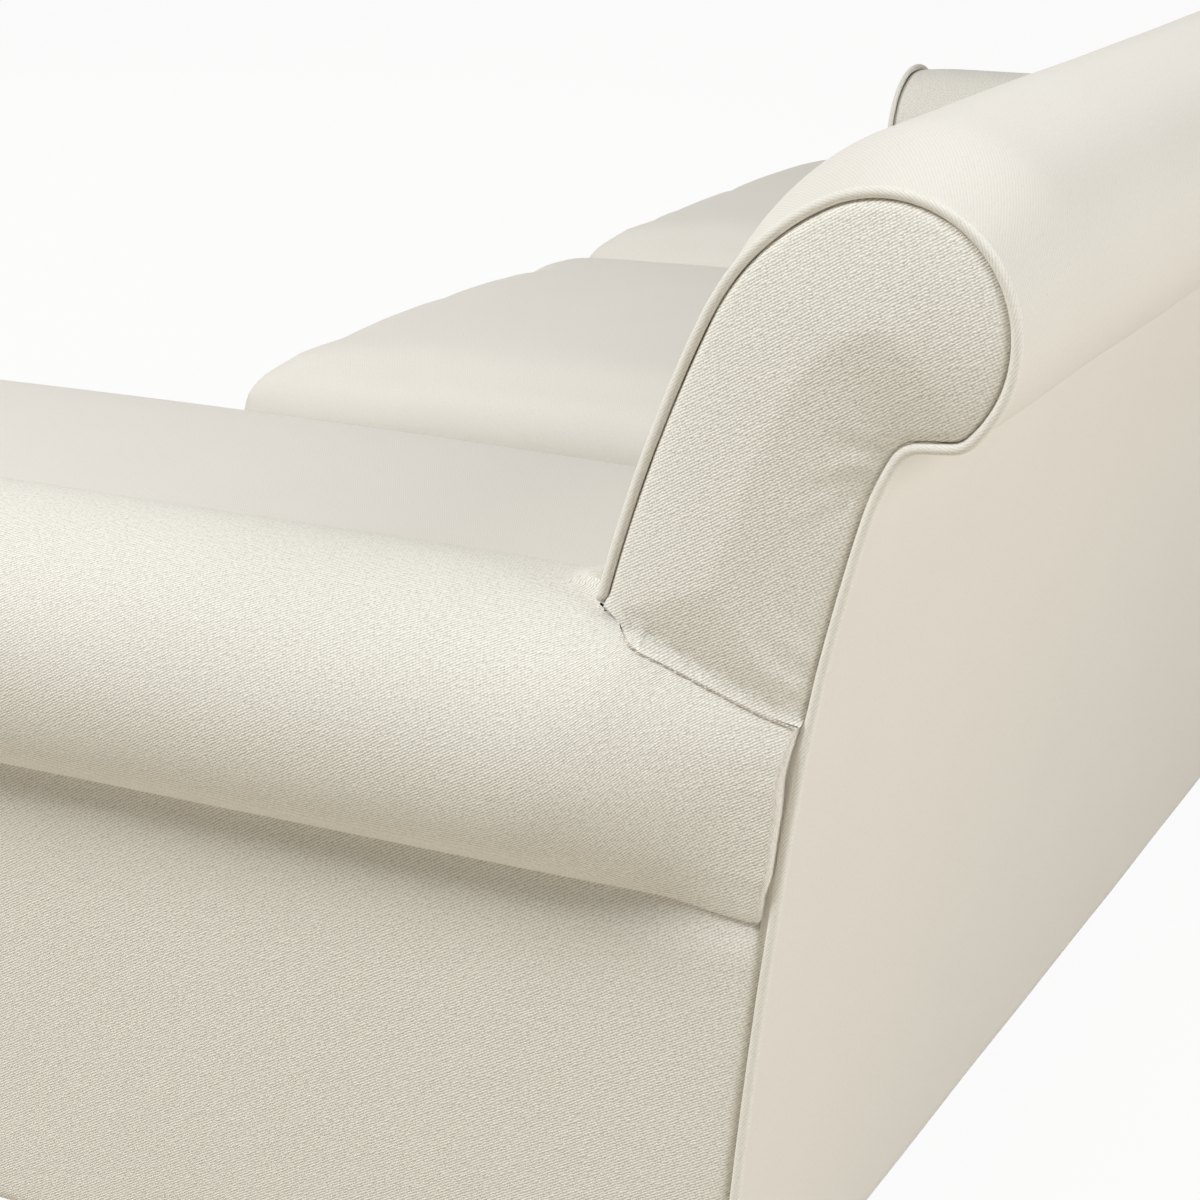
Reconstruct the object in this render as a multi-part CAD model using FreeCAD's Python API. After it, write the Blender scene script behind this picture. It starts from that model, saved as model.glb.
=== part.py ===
import FreeCAD, Part
import math
import os

from FreeCAD import Vector

# Sectional sofa: a sofa with three seats, and a chaise base that hooks on to its front at +X.
# It faces -Y and stands on Z = 0. All sizes are in millimetres.

# Plan, with depths measured forwards from the foot of the outside back
chaise_seat_width = 645.0
sofa_seat_width = 707.0
sofa_seats = 2
arm_width = 130.0
chaise_depth = 1450.0
sofa_depth = 878.0
arm_setback = 143.0
chaise_base_gap = 12.0

# Heights
base_height = 128.0
deck_height = 300.0
arm_roll_height = 541.5

# Covers: board or padding with fabric
cover = 16.0
outside_back_cover = 8.0
dust_cover = 1.5
deck_thickness = 22.0

# Rolled arm, whose crease lies a turn below the outer side of the roll
arm_crease_turn = 65.0
arm_crease_inset = 0.6
arm_padding = 32.0
arm_taper_length = 120.0
arm_rear_overhang = 13.0
arm_rear_drop = 28.0

# Scroll back, seen from its end: the front face leans back, rolls over and tucks in at a crease
back_front_inset = 75.0
back_seam_drop = 53.0
back_lean = 15.0
back_padding = 45.0
back_crown = 17.0
back_lift = 12.0
crown_length = 90.0
back_front_radius = 975.0
back_front_turn = 10.6
roll_front_radius = 141.0
roll_front_turn = 39.5
roll_radius = 71.0
roll_turn = 160.0
tuck_radius = 14.0
tuck_turn = 40.0
tuck_run = 18.0
neck_radius = 20.0
neck_turn = 54.0
outside_back_top_radius = 156.0
outside_back_top_turn = 14.4
outside_back_middle_radius = 1258.0
outside_back_middle_turn = 8.0
outside_back_radius = 4500.0

# Wooden frame
rail_thickness = 22.0
cross_rail_drop = 30.0
corner_block_leg = 68.0
corner_block_height = 60.0
post_thickness = 26.0
post_foot_depth = 45.0
post_room = 1.0
post_tongue = 40.0
cavity_drop = 58.0
cavity_room = 2.2
top_rail_width = 40.0
top_rail_height = 36.0
arm_board_thickness = 24.0
arm_board_drop = 21.5

# Suspension
spring_wire = 4.0
spring_bar = 30.0
spring_pitch = 40.0
springs_per_seat = 4
chaise_springs = 5
clip_height = 8.0
clip_length = 22.0
clip_width = 16.0
webbing_width = 50.0
webbing_thickness = 1.7
webbing_rows = 3
webbing_margin = 70.0

# Welts
welt_radius = 3.3
welt_inset = 4.0

# Feet
foot_top_radius = 26.0
foot_bottom_radius = 16.0
foot_collar = 12.0
foot_inset = 24.0
glide_radius = 13.0
glide_height = 5.0
bolt_radius = 4.0
bolt_in_foot = 45.0
bolt_in_block = 50.0

# Connectors between the sofa and the chaise base
connector_count = 2
connector_width = 60.0
connector_height = 80.0
connector_rise = 30.0
connector_plate = 3.0
connector_web = 8.0
strap_thickness = 2.4
strap_height = 40.0
strap_rise = 10.0
blade_width = 40.0

# Loose seat cushions
cushion_edge = 186.0
cushion_crown_across = 16.0
cushion_crown_along = 14.0
cushion_gap = 4.0
cushion_arm_gap = 9.0
cushion_front_overhang = 10.0
cushion_corner = 40.0
cushion_notch_corner = 8.0
cushion_tuck = 14.0
cushion_wrap = 24.0

# Fits
clearance = 0.3


def box(x_range, y_range, z_range):
    """A block between two values on each axis."""
    low = Vector(min(x_range), min(y_range), min(z_range))
    high = Vector(max(x_range), max(y_range), max(z_range))
    size = high - low
    return Part.makeBox(size.x, size.y, size.z, low)


def prism(points, direction):
    """A straight-sided solid on a closed outline of points."""
    wire = Part.makePolygon(list(points) + [points[0]])
    return Part.Face(wire).extrude(direction)


def export(name, solids):
    """Write one node, from one solid or from a group of separate solids."""
    shape = solids[0] if len(solids) == 1 else Part.makeCompound(solids)
    shape.exportStep(os.path.join("parts", name + ".step"))


def trace(start, heading, runs, offset, place):
    """Edges of a smooth outline of straight runs and arcs, moved outwards by offset.

    A heading of 0 points up and 90 to the right. A run is (length, 0) or (radius, turn), and a
    positive turn bends to the right. The outside is on the left of the path.
    """
    u, v = start
    angle = math.radians(heading)
    edges = []

    def shifted():
        return place(u - offset * math.cos(angle), v + offset * math.sin(angle))

    for size, turn in runs:
        points = [shifted()]
        if turn == 0:
            u += size * math.sin(angle)
            v += size * math.cos(angle)
            edges.append(Part.LineSegment(points[0], shifted()).toShape())
            continue
        reach = math.copysign(size, turn)
        centre_u = u + reach * math.cos(angle)
        centre_v = v - reach * math.sin(angle)
        for half in range(2):
            angle += math.radians(turn) / 2
            u = centre_u - reach * math.cos(angle)
            v = centre_v + reach * math.sin(angle)
            points.append(shifted())
        edges.append(Part.Arc(*points).toShape())
    return edges


def ends(edges):
    """First and last point of edges that follow each other."""
    return edges[0].firstVertex(True).Point, edges[-1].lastVertex(True).Point


def lines(points):
    """Straight edges through points."""
    return [Part.LineSegment(a, b).toShape() for a, b in zip(points, points[1:])]


def closed_wire(edges, corners):
    """A wire on a run of edges that is closed through corner points."""
    first, last = ends(edges)
    return Part.Wire(edges + lines([last] + list(corners) + [first]))


def cord(edges, radius):
    """A round cord along a smooth path."""
    start = edges[0].firstVertex(True).Point
    tangent = edges[0].tangentAt(edges[0].FirstParameter)
    ring = Part.Wire(Part.makeCircle(radius, start, tangent))
    return Part.Wire(edges).makePipeShell([ring], True, False)


def largest(shape):
    """The main solid of a cut."""
    return max(shape.Solids, key=lambda solid: solid.Volume)


# Outline of the back: from the arm seam up, over the roll to the crease, and down the outside back
def flat(u, v):
    """A point of an outline in the plane X = 0."""
    return Vector(0, u, v)


def end_state(start, heading, runs):
    """Where a run of lines and arcs ends, and its heading there."""
    point = ends(trace(start, heading, runs, 0, flat))[1]
    return (point.y, point.z), heading + sum(turn for _, turn in runs)


arm_roll_radius = (arm_width - arm_crease_inset) / (1 + math.cos(math.radians(arm_crease_turn)))
back_seam_height = arm_roll_height + arm_roll_radius
back_start = (-back_front_inset, back_seam_height)
front_runs = [(back_front_radius, back_front_turn), (roll_front_radius, roll_front_turn)]
roll_runs = [(roll_radius, roll_turn / 2), (roll_radius, roll_turn / 2)]
tuck_runs = [(tuck_radius, tuck_turn), (tuck_run, 0), (neck_radius, -neck_turn)]
neck_runs = [(outside_back_top_radius, -outside_back_top_turn)]
middle_runs = [(outside_back_middle_radius, -outside_back_middle_turn)]
roll_start, roll_heading = end_state(back_start, back_lean, front_runs)
roll_end, tuck_heading = end_state(roll_start, roll_heading, roll_runs)
crease, crease_heading = end_state(roll_end, tuck_heading, tuck_runs[:2])
neck, neck_heading = end_state(crease, crease_heading, tuck_runs[2:])
rear_top, rear_heading = end_state(neck, neck_heading, neck_runs)
rear_middle, middle_heading = end_state(rear_top, rear_heading, middle_runs)
roll_centre = (roll_start[0] + roll_radius * math.cos(math.radians(roll_heading)),
               roll_start[1] - roll_radius * math.sin(math.radians(roll_heading)))
lean = math.radians(back_lean)
back_swell = back_crown + back_lift * math.sin(lean)


def turn_down(start, heading, radius, height):
    """Turn of an arc of the outside back from its start down to a height."""
    centre_z = start[1] + radius * math.sin(math.radians(heading))
    return 180 + math.degrees(math.asin((height - centre_z) / radius)) - heading


def rear_runs(height):
    """Runs of the outside back from the neck down to a height."""
    if height >= rear_middle[1]:
        turn = turn_down(rear_top, rear_heading, outside_back_middle_radius, height)
        return neck_runs + [(outside_back_middle_radius, turn)]
    turn = turn_down(rear_middle, middle_heading, outside_back_radius, height)
    return neck_runs + middle_runs + [(outside_back_radius, turn)]


def rear_y(height):
    """Y of the outside back at a height below the neck."""
    return end_state(neck, neck_heading, rear_runs(height))[0][0]


def front_y(height, outwards=0.0):
    """Y of the leaning front face at a height, moved outwards square to the face."""
    return back_start[0] + (height - back_seam_height) * math.tan(lean) - outwards / math.cos(lean)


# Places that follow from the sizes
rail_bottom = base_height + dust_cover
deck_bottom = deck_height - deck_thickness
rail_top = deck_bottom - clearance - clip_height
full_width = 2 * arm_width + chaise_seat_width + sofa_seats * sofa_seat_width
half_width = full_width / 2
chaise_width = arm_width + chaise_seat_width
chaise_inner_x = half_width - chaise_width
rear_reach = roll_centre[0] + roll_radius + back_crown
back_y = (chaise_depth - rear_reach) / 2
post_front = rear_y(rail_bottom) - outside_back_cover - post_room - post_foot_depth
webbing_room = webbing_thickness + 2 * clearance
cavity_height = neck[1] - cavity_drop
roll_inward = arm_width - arm_roll_radius
arm_crease_height = arm_roll_height - arm_roll_radius * math.sin(math.radians(arm_crease_turn))
arm_cavity_height = arm_roll_height - arm_board_drop


class Side:
    """One end of the sofa, measured inwards from the outside of its arm."""

    def __init__(self, name, side):
        self.name = name
        self.side = side

    def x(self, inward):
        """X at a distance inwards from the outside of the arm."""
        return self.side * (half_width - inward)

    def box(self, inward, y_range, z_range):
        """A block, with Y measured from the foot of the outside back."""
        ys = [y + back_y for y in y_range]
        return box([self.x(inward[0]), self.x(inward[1])], ys, z_range)

    def back_place(self, inward):
        """Places an outline of the back at a distance inwards."""
        return lambda u, v: Vector(self.x(inward), u + back_y, v)

    def across(self, length):
        """A step inwards along X."""
        return Vector(-self.side * length, 0, 0)

    def slab(self, points, inward, thickness):
        """A board with a straight outline in the plane of the back's section."""
        place = self.back_place(inward)
        return prism([place(*point) for point in points], self.across(thickness))


class Base:
    """A seat base on feet. Its span is measured inwards from the outside of the right arm."""

    def __init__(self, name, width, front, rear, cross_rails, springs):
        self.name = name
        self.width = width
        self.front = front
        self.rear = rear
        self.inside_front = front + cover + rail_thickness
        self.inside_rear = rear - rail_thickness
        self.cross_rails = cross_rails
        self.springs = springs


right, left = Side("right", 1), Side("left", -1)
sides = [right, left]
arm_front = arm_setback - sofa_depth
seat_inner = cover + rail_thickness
seat_joints = [chaise_width + seat * sofa_seat_width for seat in range(sofa_seats)]
spring_span = (arm_width, full_width - arm_width)
sofa_springs = springs_per_seat * (sofa_seats + 1)
sofa_front = cushion_front_overhang - sofa_depth
chaise_rear = sofa_front - chaise_base_gap - cover
sofa = Base("sofa", full_width, sofa_front, post_front, seat_joints, (spring_span, sofa_springs))
chaise = Base("chaise_base", chaise_width, cushion_front_overhang - chaise_depth, chaise_rear,
              [chaise_width / 2], ((seat_inner, chaise_width - seat_inner), chaise_springs))
bases = [sofa, chaise]


# Seat frames
def seat_frame(base):
    """Rails round the seat, rails across it, a block in each corner and one for each middle foot."""
    zs = (rail_bottom, rail_top)
    ys = (base.inside_front, base.inside_rear)
    inner = (cover, base.width - cover)
    front = right.box(inner, (base.inside_front - rail_thickness, base.inside_front), zs)
    rear = right.box(inner, (base.inside_rear, base.rear), zs)
    side_rails = [right.box((start, start + rail_thickness), ys, zs)
                  for start in (cover, base.width - seat_inner)]
    cross_zs = (rail_bottom, rail_top - cross_rail_drop)
    half_rail = rail_thickness / 2
    cross_rails = [right.box((middle - half_rail, middle + half_rail), ys, cross_zs)
                   for middle in base.cross_rails]
    blocks = []
    for inward, y, step_in, step_y in corners(base):
        points = [(inward, y), (inward + step_in * corner_block_leg, y),
                  (inward, y + step_y * corner_block_leg)]
        outline = [Vector(right.x(a), b + back_y, rail_bottom) for a, b in points]
        blocks.append(prism(outline, Vector(0, 0, corner_block_height)))
    for inward, y in middle_feet(base):
        wide = (inward - foot_inset, inward + foot_inset)
        deep = (y - foot_top_radius, y + foot_top_radius)
        blocks.append(right.box(wide, deep, (rail_bottom, rail_bottom + corner_block_height)))
    bolt_holes = Part.makeCompound(foot_bolts(base, bolt_radius + clearance))
    export(base.name + "_front_rail", [front])
    export(base.name + "_rear_rail", [rear])
    export(base.name + "_side_rails", side_rails)
    export(base.name + "_cross_rails", cross_rails)
    export(base.name + "_corner_blocks", [block.cut(bolt_holes) for block in blocks])


def corners(base):
    """Inner corners of the seat frame, with the way into the seat along X and Y."""
    found = []
    for inward, step_in in ((seat_inner, 1), (base.width - seat_inner, -1)):
        for y, step_y in ((base.inside_front, 1), (base.inside_rear, -1)):
            found.append((inward, y, step_in, step_y))
    return found


def middle_feet(base):
    """Feet beside the sofa's cross rails, half way from front to rear."""
    if base is chaise:
        return []
    middle = (base.inside_front + base.inside_rear) / 2
    return [(rail + rail_thickness / 2 + foot_inset, middle) for rail in base.cross_rails]


# Feet
def foot_centres(base):
    """Where the feet stand."""
    places = [(inward + step_in * foot_inset, y + step_y * foot_inset)
              for inward, y, step_in, step_y in corners(base)]
    return [Vector(right.x(inward), y + back_y, 0) for inward, y in places + middle_feet(base)]


def foot_bolts(base, radius):
    """Hanger bolts that hold the feet to the corner blocks, or their holes at a larger radius."""
    low = base_height - bolt_in_foot
    high = rail_bottom + bolt_in_block
    room = radius - bolt_radius
    return [Part.makeCylinder(radius, high - low + 2 * room, centre + Vector(0, 0, low - room))
            for centre in foot_centres(base)]


def feet(base):
    """Tapered wooden feet on glides."""
    holes = Part.makeCompound(foot_bolts(base, bolt_radius + clearance))
    collar_height = base_height - foot_collar
    legs = []
    glides = []
    for centre in foot_centres(base):
        taper = Part.makeCone(foot_bottom_radius, foot_top_radius, collar_height - glide_height,
                              centre + Vector(0, 0, glide_height))
        collar = Part.makeCylinder(foot_top_radius, foot_collar, centre + Vector(0, 0, collar_height))
        legs.append(taper.fuse(collar).removeSplitter().cut(holes))
        glides.append(Part.makeCylinder(glide_radius, glide_height, centre))
    export(base.name + "_feet", legs)
    export(base.name + "_foot_glides", glides)
    export(base.name + "_foot_bolts", foot_bolts(base, bolt_radius))


def under_cover(base):
    """Dust cover stapled under the rails, with a hole for each foot bolt."""
    rear = rear_y(base_height) - outside_back_cover - post_room if base is sofa else base.rear
    sheet = right.box((cover, base.width - cover), (base.front + cover, rear), (base_height, rail_bottom))
    holes = Part.makeCompound(foot_bolts(base, bolt_radius + clearance))
    export(base.name + "_dust_cover", [sheet.cut(holes)])


# Back frame
def post_outline():
    """Back post: a foot behind the rear rail, a leaning blade and a tongue up to the top rail."""
    steps = 10
    rise = (cavity_height - rail_bottom) / steps
    heights = [rail_bottom + rise * step for step in range(steps + 1)]
    points = [(rear_y(z) - outside_back_cover - post_room, z) for z in heights]
    blade_front = front_y(cavity_height, -back_padding - webbing_room)
    middle = (blade_front + points[-1][0]) / 2
    rail_low = roll_centre[1] - top_rail_height / 2
    points.append((middle + post_tongue / 2, cavity_height))
    points.append((roll_centre[0] + post_room, rail_low))
    points.append((roll_centre[0] + post_room - post_tongue, rail_low))
    points.append((middle - post_tongue / 2, cavity_height))
    points.append((blade_front, cavity_height))
    points.append((front_y(deck_height, -back_padding - webbing_room), deck_height))
    points.append((post_front, deck_height))
    points.append((post_front, rail_bottom))
    return points


def back_posts():
    """Shaped posts at the two ends of the back and at the joints between the seats."""
    places = [cover, full_width - cover - post_thickness]
    places += [joint - post_thickness / 2 for joint in seat_joints]
    return [right.slab(post_outline(), place, post_thickness) for place in places]


def top_rail():
    """Rail inside the roll."""
    y, z = roll_centre
    ys = (y - top_rail_width / 2, y + top_rail_width / 2)
    zs = (z - top_rail_height / 2, z + top_rail_height / 2)
    return right.box((cover, full_width - cover), ys, zs)


def back_webbing():
    """Elastic straps from post to post behind the padding."""
    straps = []
    span = cavity_height - deck_height - 2 * webbing_margin
    along = (math.sin(lean) * webbing_width / 2, math.cos(lean) * webbing_width / 2)
    for row in range(webbing_rows):
        z = deck_height + webbing_margin + span * row / (webbing_rows - 1)
        points = []
        for depth, way in ((0, -1), (0, 1), (webbing_thickness, 1), (webbing_thickness, -1)):
            inset = depth + clearance
            y = front_y(z, -back_padding) + inset * math.cos(lean) + way * along[0]
            points.append((y, z - inset * math.sin(lean) + way * along[1]))
        straps.append(right.slab(points, cover, full_width - 2 * cover))
    return straps


def back_frame():
    """Posts, top rail and webbing."""
    export("back_posts", back_posts())
    export("back_top_rail", [top_rail()])
    export("back_webbing", back_webbing())


# Covers of the back
def inside_back_wire(inward, share):
    """Section of the padding: down the front, round the roll and back up the hollow behind.

    Between its ends the padding swells outwards and the roll stands higher.
    """
    place = right.back_place(inward)
    start = (back_start[0], back_start[1] + share * back_lift)
    edges = trace(start, back_lean, front_runs + roll_runs, share * back_crown, place)
    tuck = outside_back_cover + cavity_room
    angle = math.radians(neck_heading)
    lip = (neck[0] + tuck * math.cos(angle), neck[1] - tuck * math.sin(angle))
    bend = math.radians(rear_heading)
    hollow = [
        (rear_top[0] + tuck * math.cos(bend), rear_top[1] - tuck * math.sin(bend)),
        (rear_y(cavity_height) - tuck, cavity_height),
        (front_y(cavity_height, -back_padding), cavity_height),
        (front_y(deck_height, -back_padding), deck_height),
        (front_y(deck_height, share * back_swell), deck_height),
    ]
    return closed_wire(edges, [place(*point) for point in [crease, neck, lip] + hollow])


def inside_back():
    """Padded back that rolls over the top, drawn in at both ends."""
    stations = []
    for along, share in ((0.0, 0.0), (0.25, 0.6), (0.6, 0.93), (1.0, 1.0)):
        stations.append((cover + along * crown_length, share))
    stations += [(full_width - inward, share) for inward, share in reversed(stations)]
    wires = [inside_back_wire(inward, share) for inward, share in stations]
    padding = Part.makeLoft(wires, True, True)
    frame = Part.makeCompound(back_posts() + [top_rail()])
    return largest(padding.cut(frame))


def outside_back():
    """Tight cover of the back from the neck down to the base."""
    place = right.back_place(cover)
    outer = trace(neck, neck_heading, rear_runs(base_height), 0, place)
    inner = trace(neck, neck_heading, rear_runs(base_height), -outside_back_cover, place)
    outer_first, outer_last = ends(outer)
    inner_first, inner_last = ends(inner)
    edges = outer + lines([outer_last, inner_last]) + inner + lines([inner_first, outer_first])
    wire = Part.Wire(Part.sortEdges(edges)[0])
    return Part.Face(wire).extrude(right.across(full_width - 2 * cover))


def back_outline(side, inward, low, offset):
    """Edges round the end of the back, from the arm seam over the roll and down to a height."""
    runs = front_runs + roll_runs + tuck_runs + rear_runs(low)
    return trace(back_start, back_lean, runs, offset, side.back_place(inward))


def end_panel(side):
    """Scroll-shaped panel over the end of the back, above the arm."""
    edges = back_outline(side, 0, back_seam_height - back_seam_drop, 0)
    return Part.Face(closed_wire(edges, [])).extrude(side.across(cover))


def outside_arm(side):
    """Flat side of the arm below its roll, whose rear edge follows the outside back."""
    place = side.back_place(0)
    front = arm_front + cover
    edges = trace(neck, neck_heading, rear_runs(base_height), 0, place)
    wire = closed_wire(edges, [place(front, base_height), place(front, neck[1])])
    panel = Part.Face(wire).extrude(side.across(cover))
    below_roll = side.box((0, cover), (front, neck[0]), (base_height, arm_crease_height))
    return largest(panel.common(below_roll))


def back_covers():
    """Padding and covers of the back."""
    export("inside_back", [inside_back()])
    export("outside_back", [outside_back()])
    for side in sides:
        export(side.name + "_back_end_panel", [end_panel(side)])


# Rolled arm
def arm_place(side, y):
    """Places an outline of the arm, drawn with its outside on the right."""
    return lambda u, v: Vector(side.x(-u), y + back_y, v)


def arm_runs(low):
    """Up the inside of the arm from a height, over its roll and in to the crease."""
    return [(arm_roll_height - low, 0), (arm_roll_radius, 90), (arm_roll_radius, 90),
            (arm_roll_radius, arm_crease_turn)]


def arm_wire(side, y, overhang, drop):
    """Section of the padded arm with the hollow for its frame."""
    place = arm_place(side, y)
    top = arm_roll_height + arm_roll_radius - drop
    knee = (-arm_width, arm_roll_height)
    crown = (-roll_inward, top)
    edge = (overhang, arm_roll_height)
    tuck = (-arm_crease_inset, arm_crease_height)
    round_share = math.sqrt(0.5)
    arcs = []
    for a, b, u_share, v_share in ((knee, crown, 1 - round_share, round_share),
                                   (crown, edge, round_share, 1 - round_share),
                                   (edge, tuck, 1 - round_share, 0.6)):
        middle = (a[0] + (b[0] - a[0]) * u_share, a[1] + (b[1] - a[1]) * v_share)
        arcs.append(Part.Arc(place(*a), place(*middle), place(*b)).toShape())
    hollow = [
        (-seat_inner, arm_crease_height),
        (-seat_inner, arm_cavity_height),
        (-arm_width + arm_padding, arm_cavity_height),
        (-arm_width + arm_padding, deck_height),
        (-arm_width, deck_height),
    ]
    return closed_wire(arcs, [place(*point) for point in hollow])


def padded_arm(side):
    """Arm padding with its roll, which narrows towards the outside back."""
    overhang = arm_roll_radius - roll_inward
    rear = rear_y(arm_roll_height)
    stations = [(arm_front + cover, overhang, 0), (rear - arm_taper_length, overhang, 0),
                (rear, arm_rear_overhang, arm_rear_drop),
                (rear + cover, arm_rear_overhang, arm_rear_drop)]
    padding = Part.makeLoft([arm_wire(side, *station) for station in stations], True, True)
    room = back_swell + clearance
    high = cavity_height
    back_face = [(front_y(0, room), 0), (front_y(high, room), high), (rear + arm_width, high),
                 (rear + arm_width, 0)]
    padding = padding.cut(side.slab(back_face, cover, arm_width))
    place = side.back_place(-2 * overhang)
    edges = trace(neck, neck_heading, rear_runs(base_height), 0, place)
    behind = Part.Face(closed_wire(edges, [place(rear + arm_width, base_height),
                                           place(rear + arm_width, neck[1])]))
    padding = padding.cut(behind.extrude(side.across(arm_width + 2 * overhang)))
    return largest(padding.cut(end_panel(side)))


def arm_front_panel(side):
    """Facing of the arm's front end."""
    edges = trace((-arm_width, deck_height), 0, arm_runs(deck_height), 0, arm_place(side, arm_front))
    foot = arm_place(side, arm_front)(-arm_crease_inset, deck_height)
    return Part.Face(closed_wire(edges, [foot])).extrude(Vector(0, cover, 0))


def arm_frame_solids(side):
    """Two posts and the board that carries the roll."""
    inward = (seat_inner, arm_width - arm_padding)
    under_board = arm_cavity_height - arm_board_thickness
    rear_end = front_y(arm_cavity_height, back_swell + clearance) - rail_thickness
    board = side.box(inward, (arm_front + cover, rear_end), (under_board, arm_cavity_height))
    rear_post = front_y(deck_height, back_swell + clearance) - rail_thickness
    posts = []
    for y in (arm_front + cover, rear_post):
        posts.append(side.box(inward, (y, y + rail_thickness), (rail_bottom, under_board)))
    return [board] + posts


def arm(side):
    """Arm with its frame, padding and covers."""
    export(side.name + "_arm_frame", arm_frame_solids(side))
    export(side.name + "_arm_padding", [padded_arm(side)])
    export(side.name + "_arm_front_panel", [arm_front_panel(side)])
    export(side.name + "_outside_arm", [outside_arm(side)])


# Base borders and decks
def base_border(base):
    """Padded border round a seat frame, up to the arms on the sofa and all round on the chaise base."""
    zs = (base_height, deck_height)
    face = base.front + cover
    side_end = arm_front + cover if base is sofa else base.rear + cover
    strips = [right.box((0, base.width), (base.front, face), zs)]
    for start in (0, base.width - cover):
        strips.append(right.box((start, start + cover), (face, side_end), zs))
    if base is chaise:
        strips.append(right.box((cover, base.width - cover), (base.rear, side_end), zs))
    export(base.name + "_border", strips)


def deck(base):
    """Padded platform on the springs, with slots for the arm posts."""
    pad = right.box((cover, base.width - cover), (base.front + cover, base.rear),
                    (deck_bottom, deck_height))
    if base is sofa:
        for side in sides:
            pad = pad.cut(Part.makeCompound(arm_frame_solids(side)))
    export(base.name + "_deck", [pad])


# Seat springs
def zigzag(span):
    """One spring along +Y: bars along X joined by half turns."""
    bends = round(span / spring_pitch)
    pitch = span / bends
    half_bar = spring_bar / 2
    edges = []
    for index in range(bends + 1):
        way = 1 if index % 2 == 0 else -1
        y = index * pitch
        bar_end = Vector(way * half_bar, y, 0)
        edges.append(Part.LineSegment(Vector(-way * half_bar, y, 0), bar_end).toShape())
        if index < bends:
            middle = bar_end + Vector(way * pitch / 2, pitch / 2, 0)
            edges.append(Part.Arc(bar_end, middle, bar_end + Vector(0, pitch, 0)).toShape())
    return cord(edges, spring_wire / 2)


def suspension(base):
    """Zigzag springs from the front rail to the rear rail, held by a clip at each end."""
    (first, last), count = base.springs
    start = base.inside_front - rail_thickness / 2
    span = base.inside_rear + rail_thickness / 2 - start
    wire_height = rail_top + clip_height / 2
    hole = Part.makeCylinder(spring_wire / 2 + clearance, 2 * clip_length,
                             Vector(-clip_length, 0, 0), Vector(1, 0, 0))
    clip = box((-clip_length / 2, clip_length / 2), (-clip_width / 2, clip_width / 2),
               (-clip_height / 2, clip_height / 2)).cut(hole)
    spring = zigzag(span)
    springs = []
    clips = []
    for index in range(count):
        x = right.x(first + (last - first) * (index + 0.5) / count)
        foot = Vector(x, start + back_y, wire_height)
        springs.append(spring.translated(foot))
        clips += [clip.translated(foot), clip.translated(foot + Vector(0, span, 0))]
    export(base.name + "_springs", springs)
    export(base.name + "_spring_clips", clips)


# Welts
def welts(side):
    """Cords round the scroll panel and down the rear corner, and round the arm's front panel."""
    offset = welt_radius + clearance
    scroll = back_outline(side, welt_inset, base_height, offset)
    low = deck_height + clearance
    front = trace((-arm_width, low), 0, arm_runs(low), offset, arm_place(side, arm_front + welt_inset))
    export(side.name + "_welts", [cord(scroll, welt_radius), cord(front, welt_radius)])


# Connectors: a hook on the chaise base drops behind a strap on the sofa's front
def connectors():
    """Socket plates on the sofa and hook plates on the chaise base."""
    sofa_face = sofa.front + back_y
    hook_face = sofa_face - chaise_base_gap
    low = base_height + connector_rise
    strap_low = low + strap_rise
    strap_top = strap_low + strap_height
    slot_face = sofa_face - connector_plate
    strap_face = slot_face - connector_plate - 2 * clearance
    strap_back = strap_face - strap_thickness
    blade_face = slot_face - clearance
    hook_top = strap_top + clearance + connector_plate
    sockets = []
    hooks = []
    for index in range(connector_count):
        x = right.x(chaise_width * (index + 0.5) / connector_count)
        wide = (x - connector_width / 2, x + connector_width / 2)
        narrow = (x - blade_width / 2, x + blade_width / 2)
        socket = box(wide, (slot_face, sofa_face), (low, low + connector_height))
        socket = socket.fuse(box(wide, (strap_back, strap_face), (strap_low, strap_top)))
        for edge, way in ((wide[0], 1), (wide[1], -1)):
            web = (edge, edge + way * connector_web)
            socket = socket.fuse(box(web, (strap_back, slot_face), (strap_low, strap_top)))
        sockets.append(socket.removeSplitter())
        hook = box(narrow, (hook_face, strap_back - clearance), (low, low + connector_height))
        hook = hook.fuse(box(narrow, (hook_face, blade_face), (strap_top + clearance, hook_top)))
        blade = box(narrow, (blade_face - connector_plate, blade_face), (strap_low + clearance, hook_top))
        hooks.append(hook.fuse(blade).removeSplitter())
    export("connector_sockets", sockets)
    export("connector_hooks", hooks)


# Loose seat cushions
def inset_points(points, inset):
    """Corners of a square-cornered outline, drawn anticlockwise, moved inside it."""
    moved = []
    for index, point in enumerate(points):
        before = points[index - 1]
        after = points[(index + 1) % len(points)]
        shift = Vector(0, 0, 0)
        for a, b in ((before, point), (point, after)):
            way = (b - a).normalize()
            shift += Vector(-way.y, way.x, 0)
        moved.append(point + shift * inset)
    return moved


def rounded_wire(points, outer_radius):
    """A square-cornered outline with round corners, small ones where it turns inwards."""
    edges = []
    last = None
    for index, point in enumerate(points):
        into = (point - points[index - 1]).normalize()
        out = (points[(index + 1) % len(points)] - point).normalize()
        radius = outer_radius if into.cross(out).z > 0 else cushion_notch_corner
        start = point - into * radius
        end = point + out * radius
        centre = start + out * radius
        middle = centre + (point - centre).normalize() * radius
        if last is not None:
            edges.append(Part.LineSegment(last, start).toShape())
        edges.append(Part.Arc(start, middle, end).toShape())
        last = end
    return closed_wire(edges, [])


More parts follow.
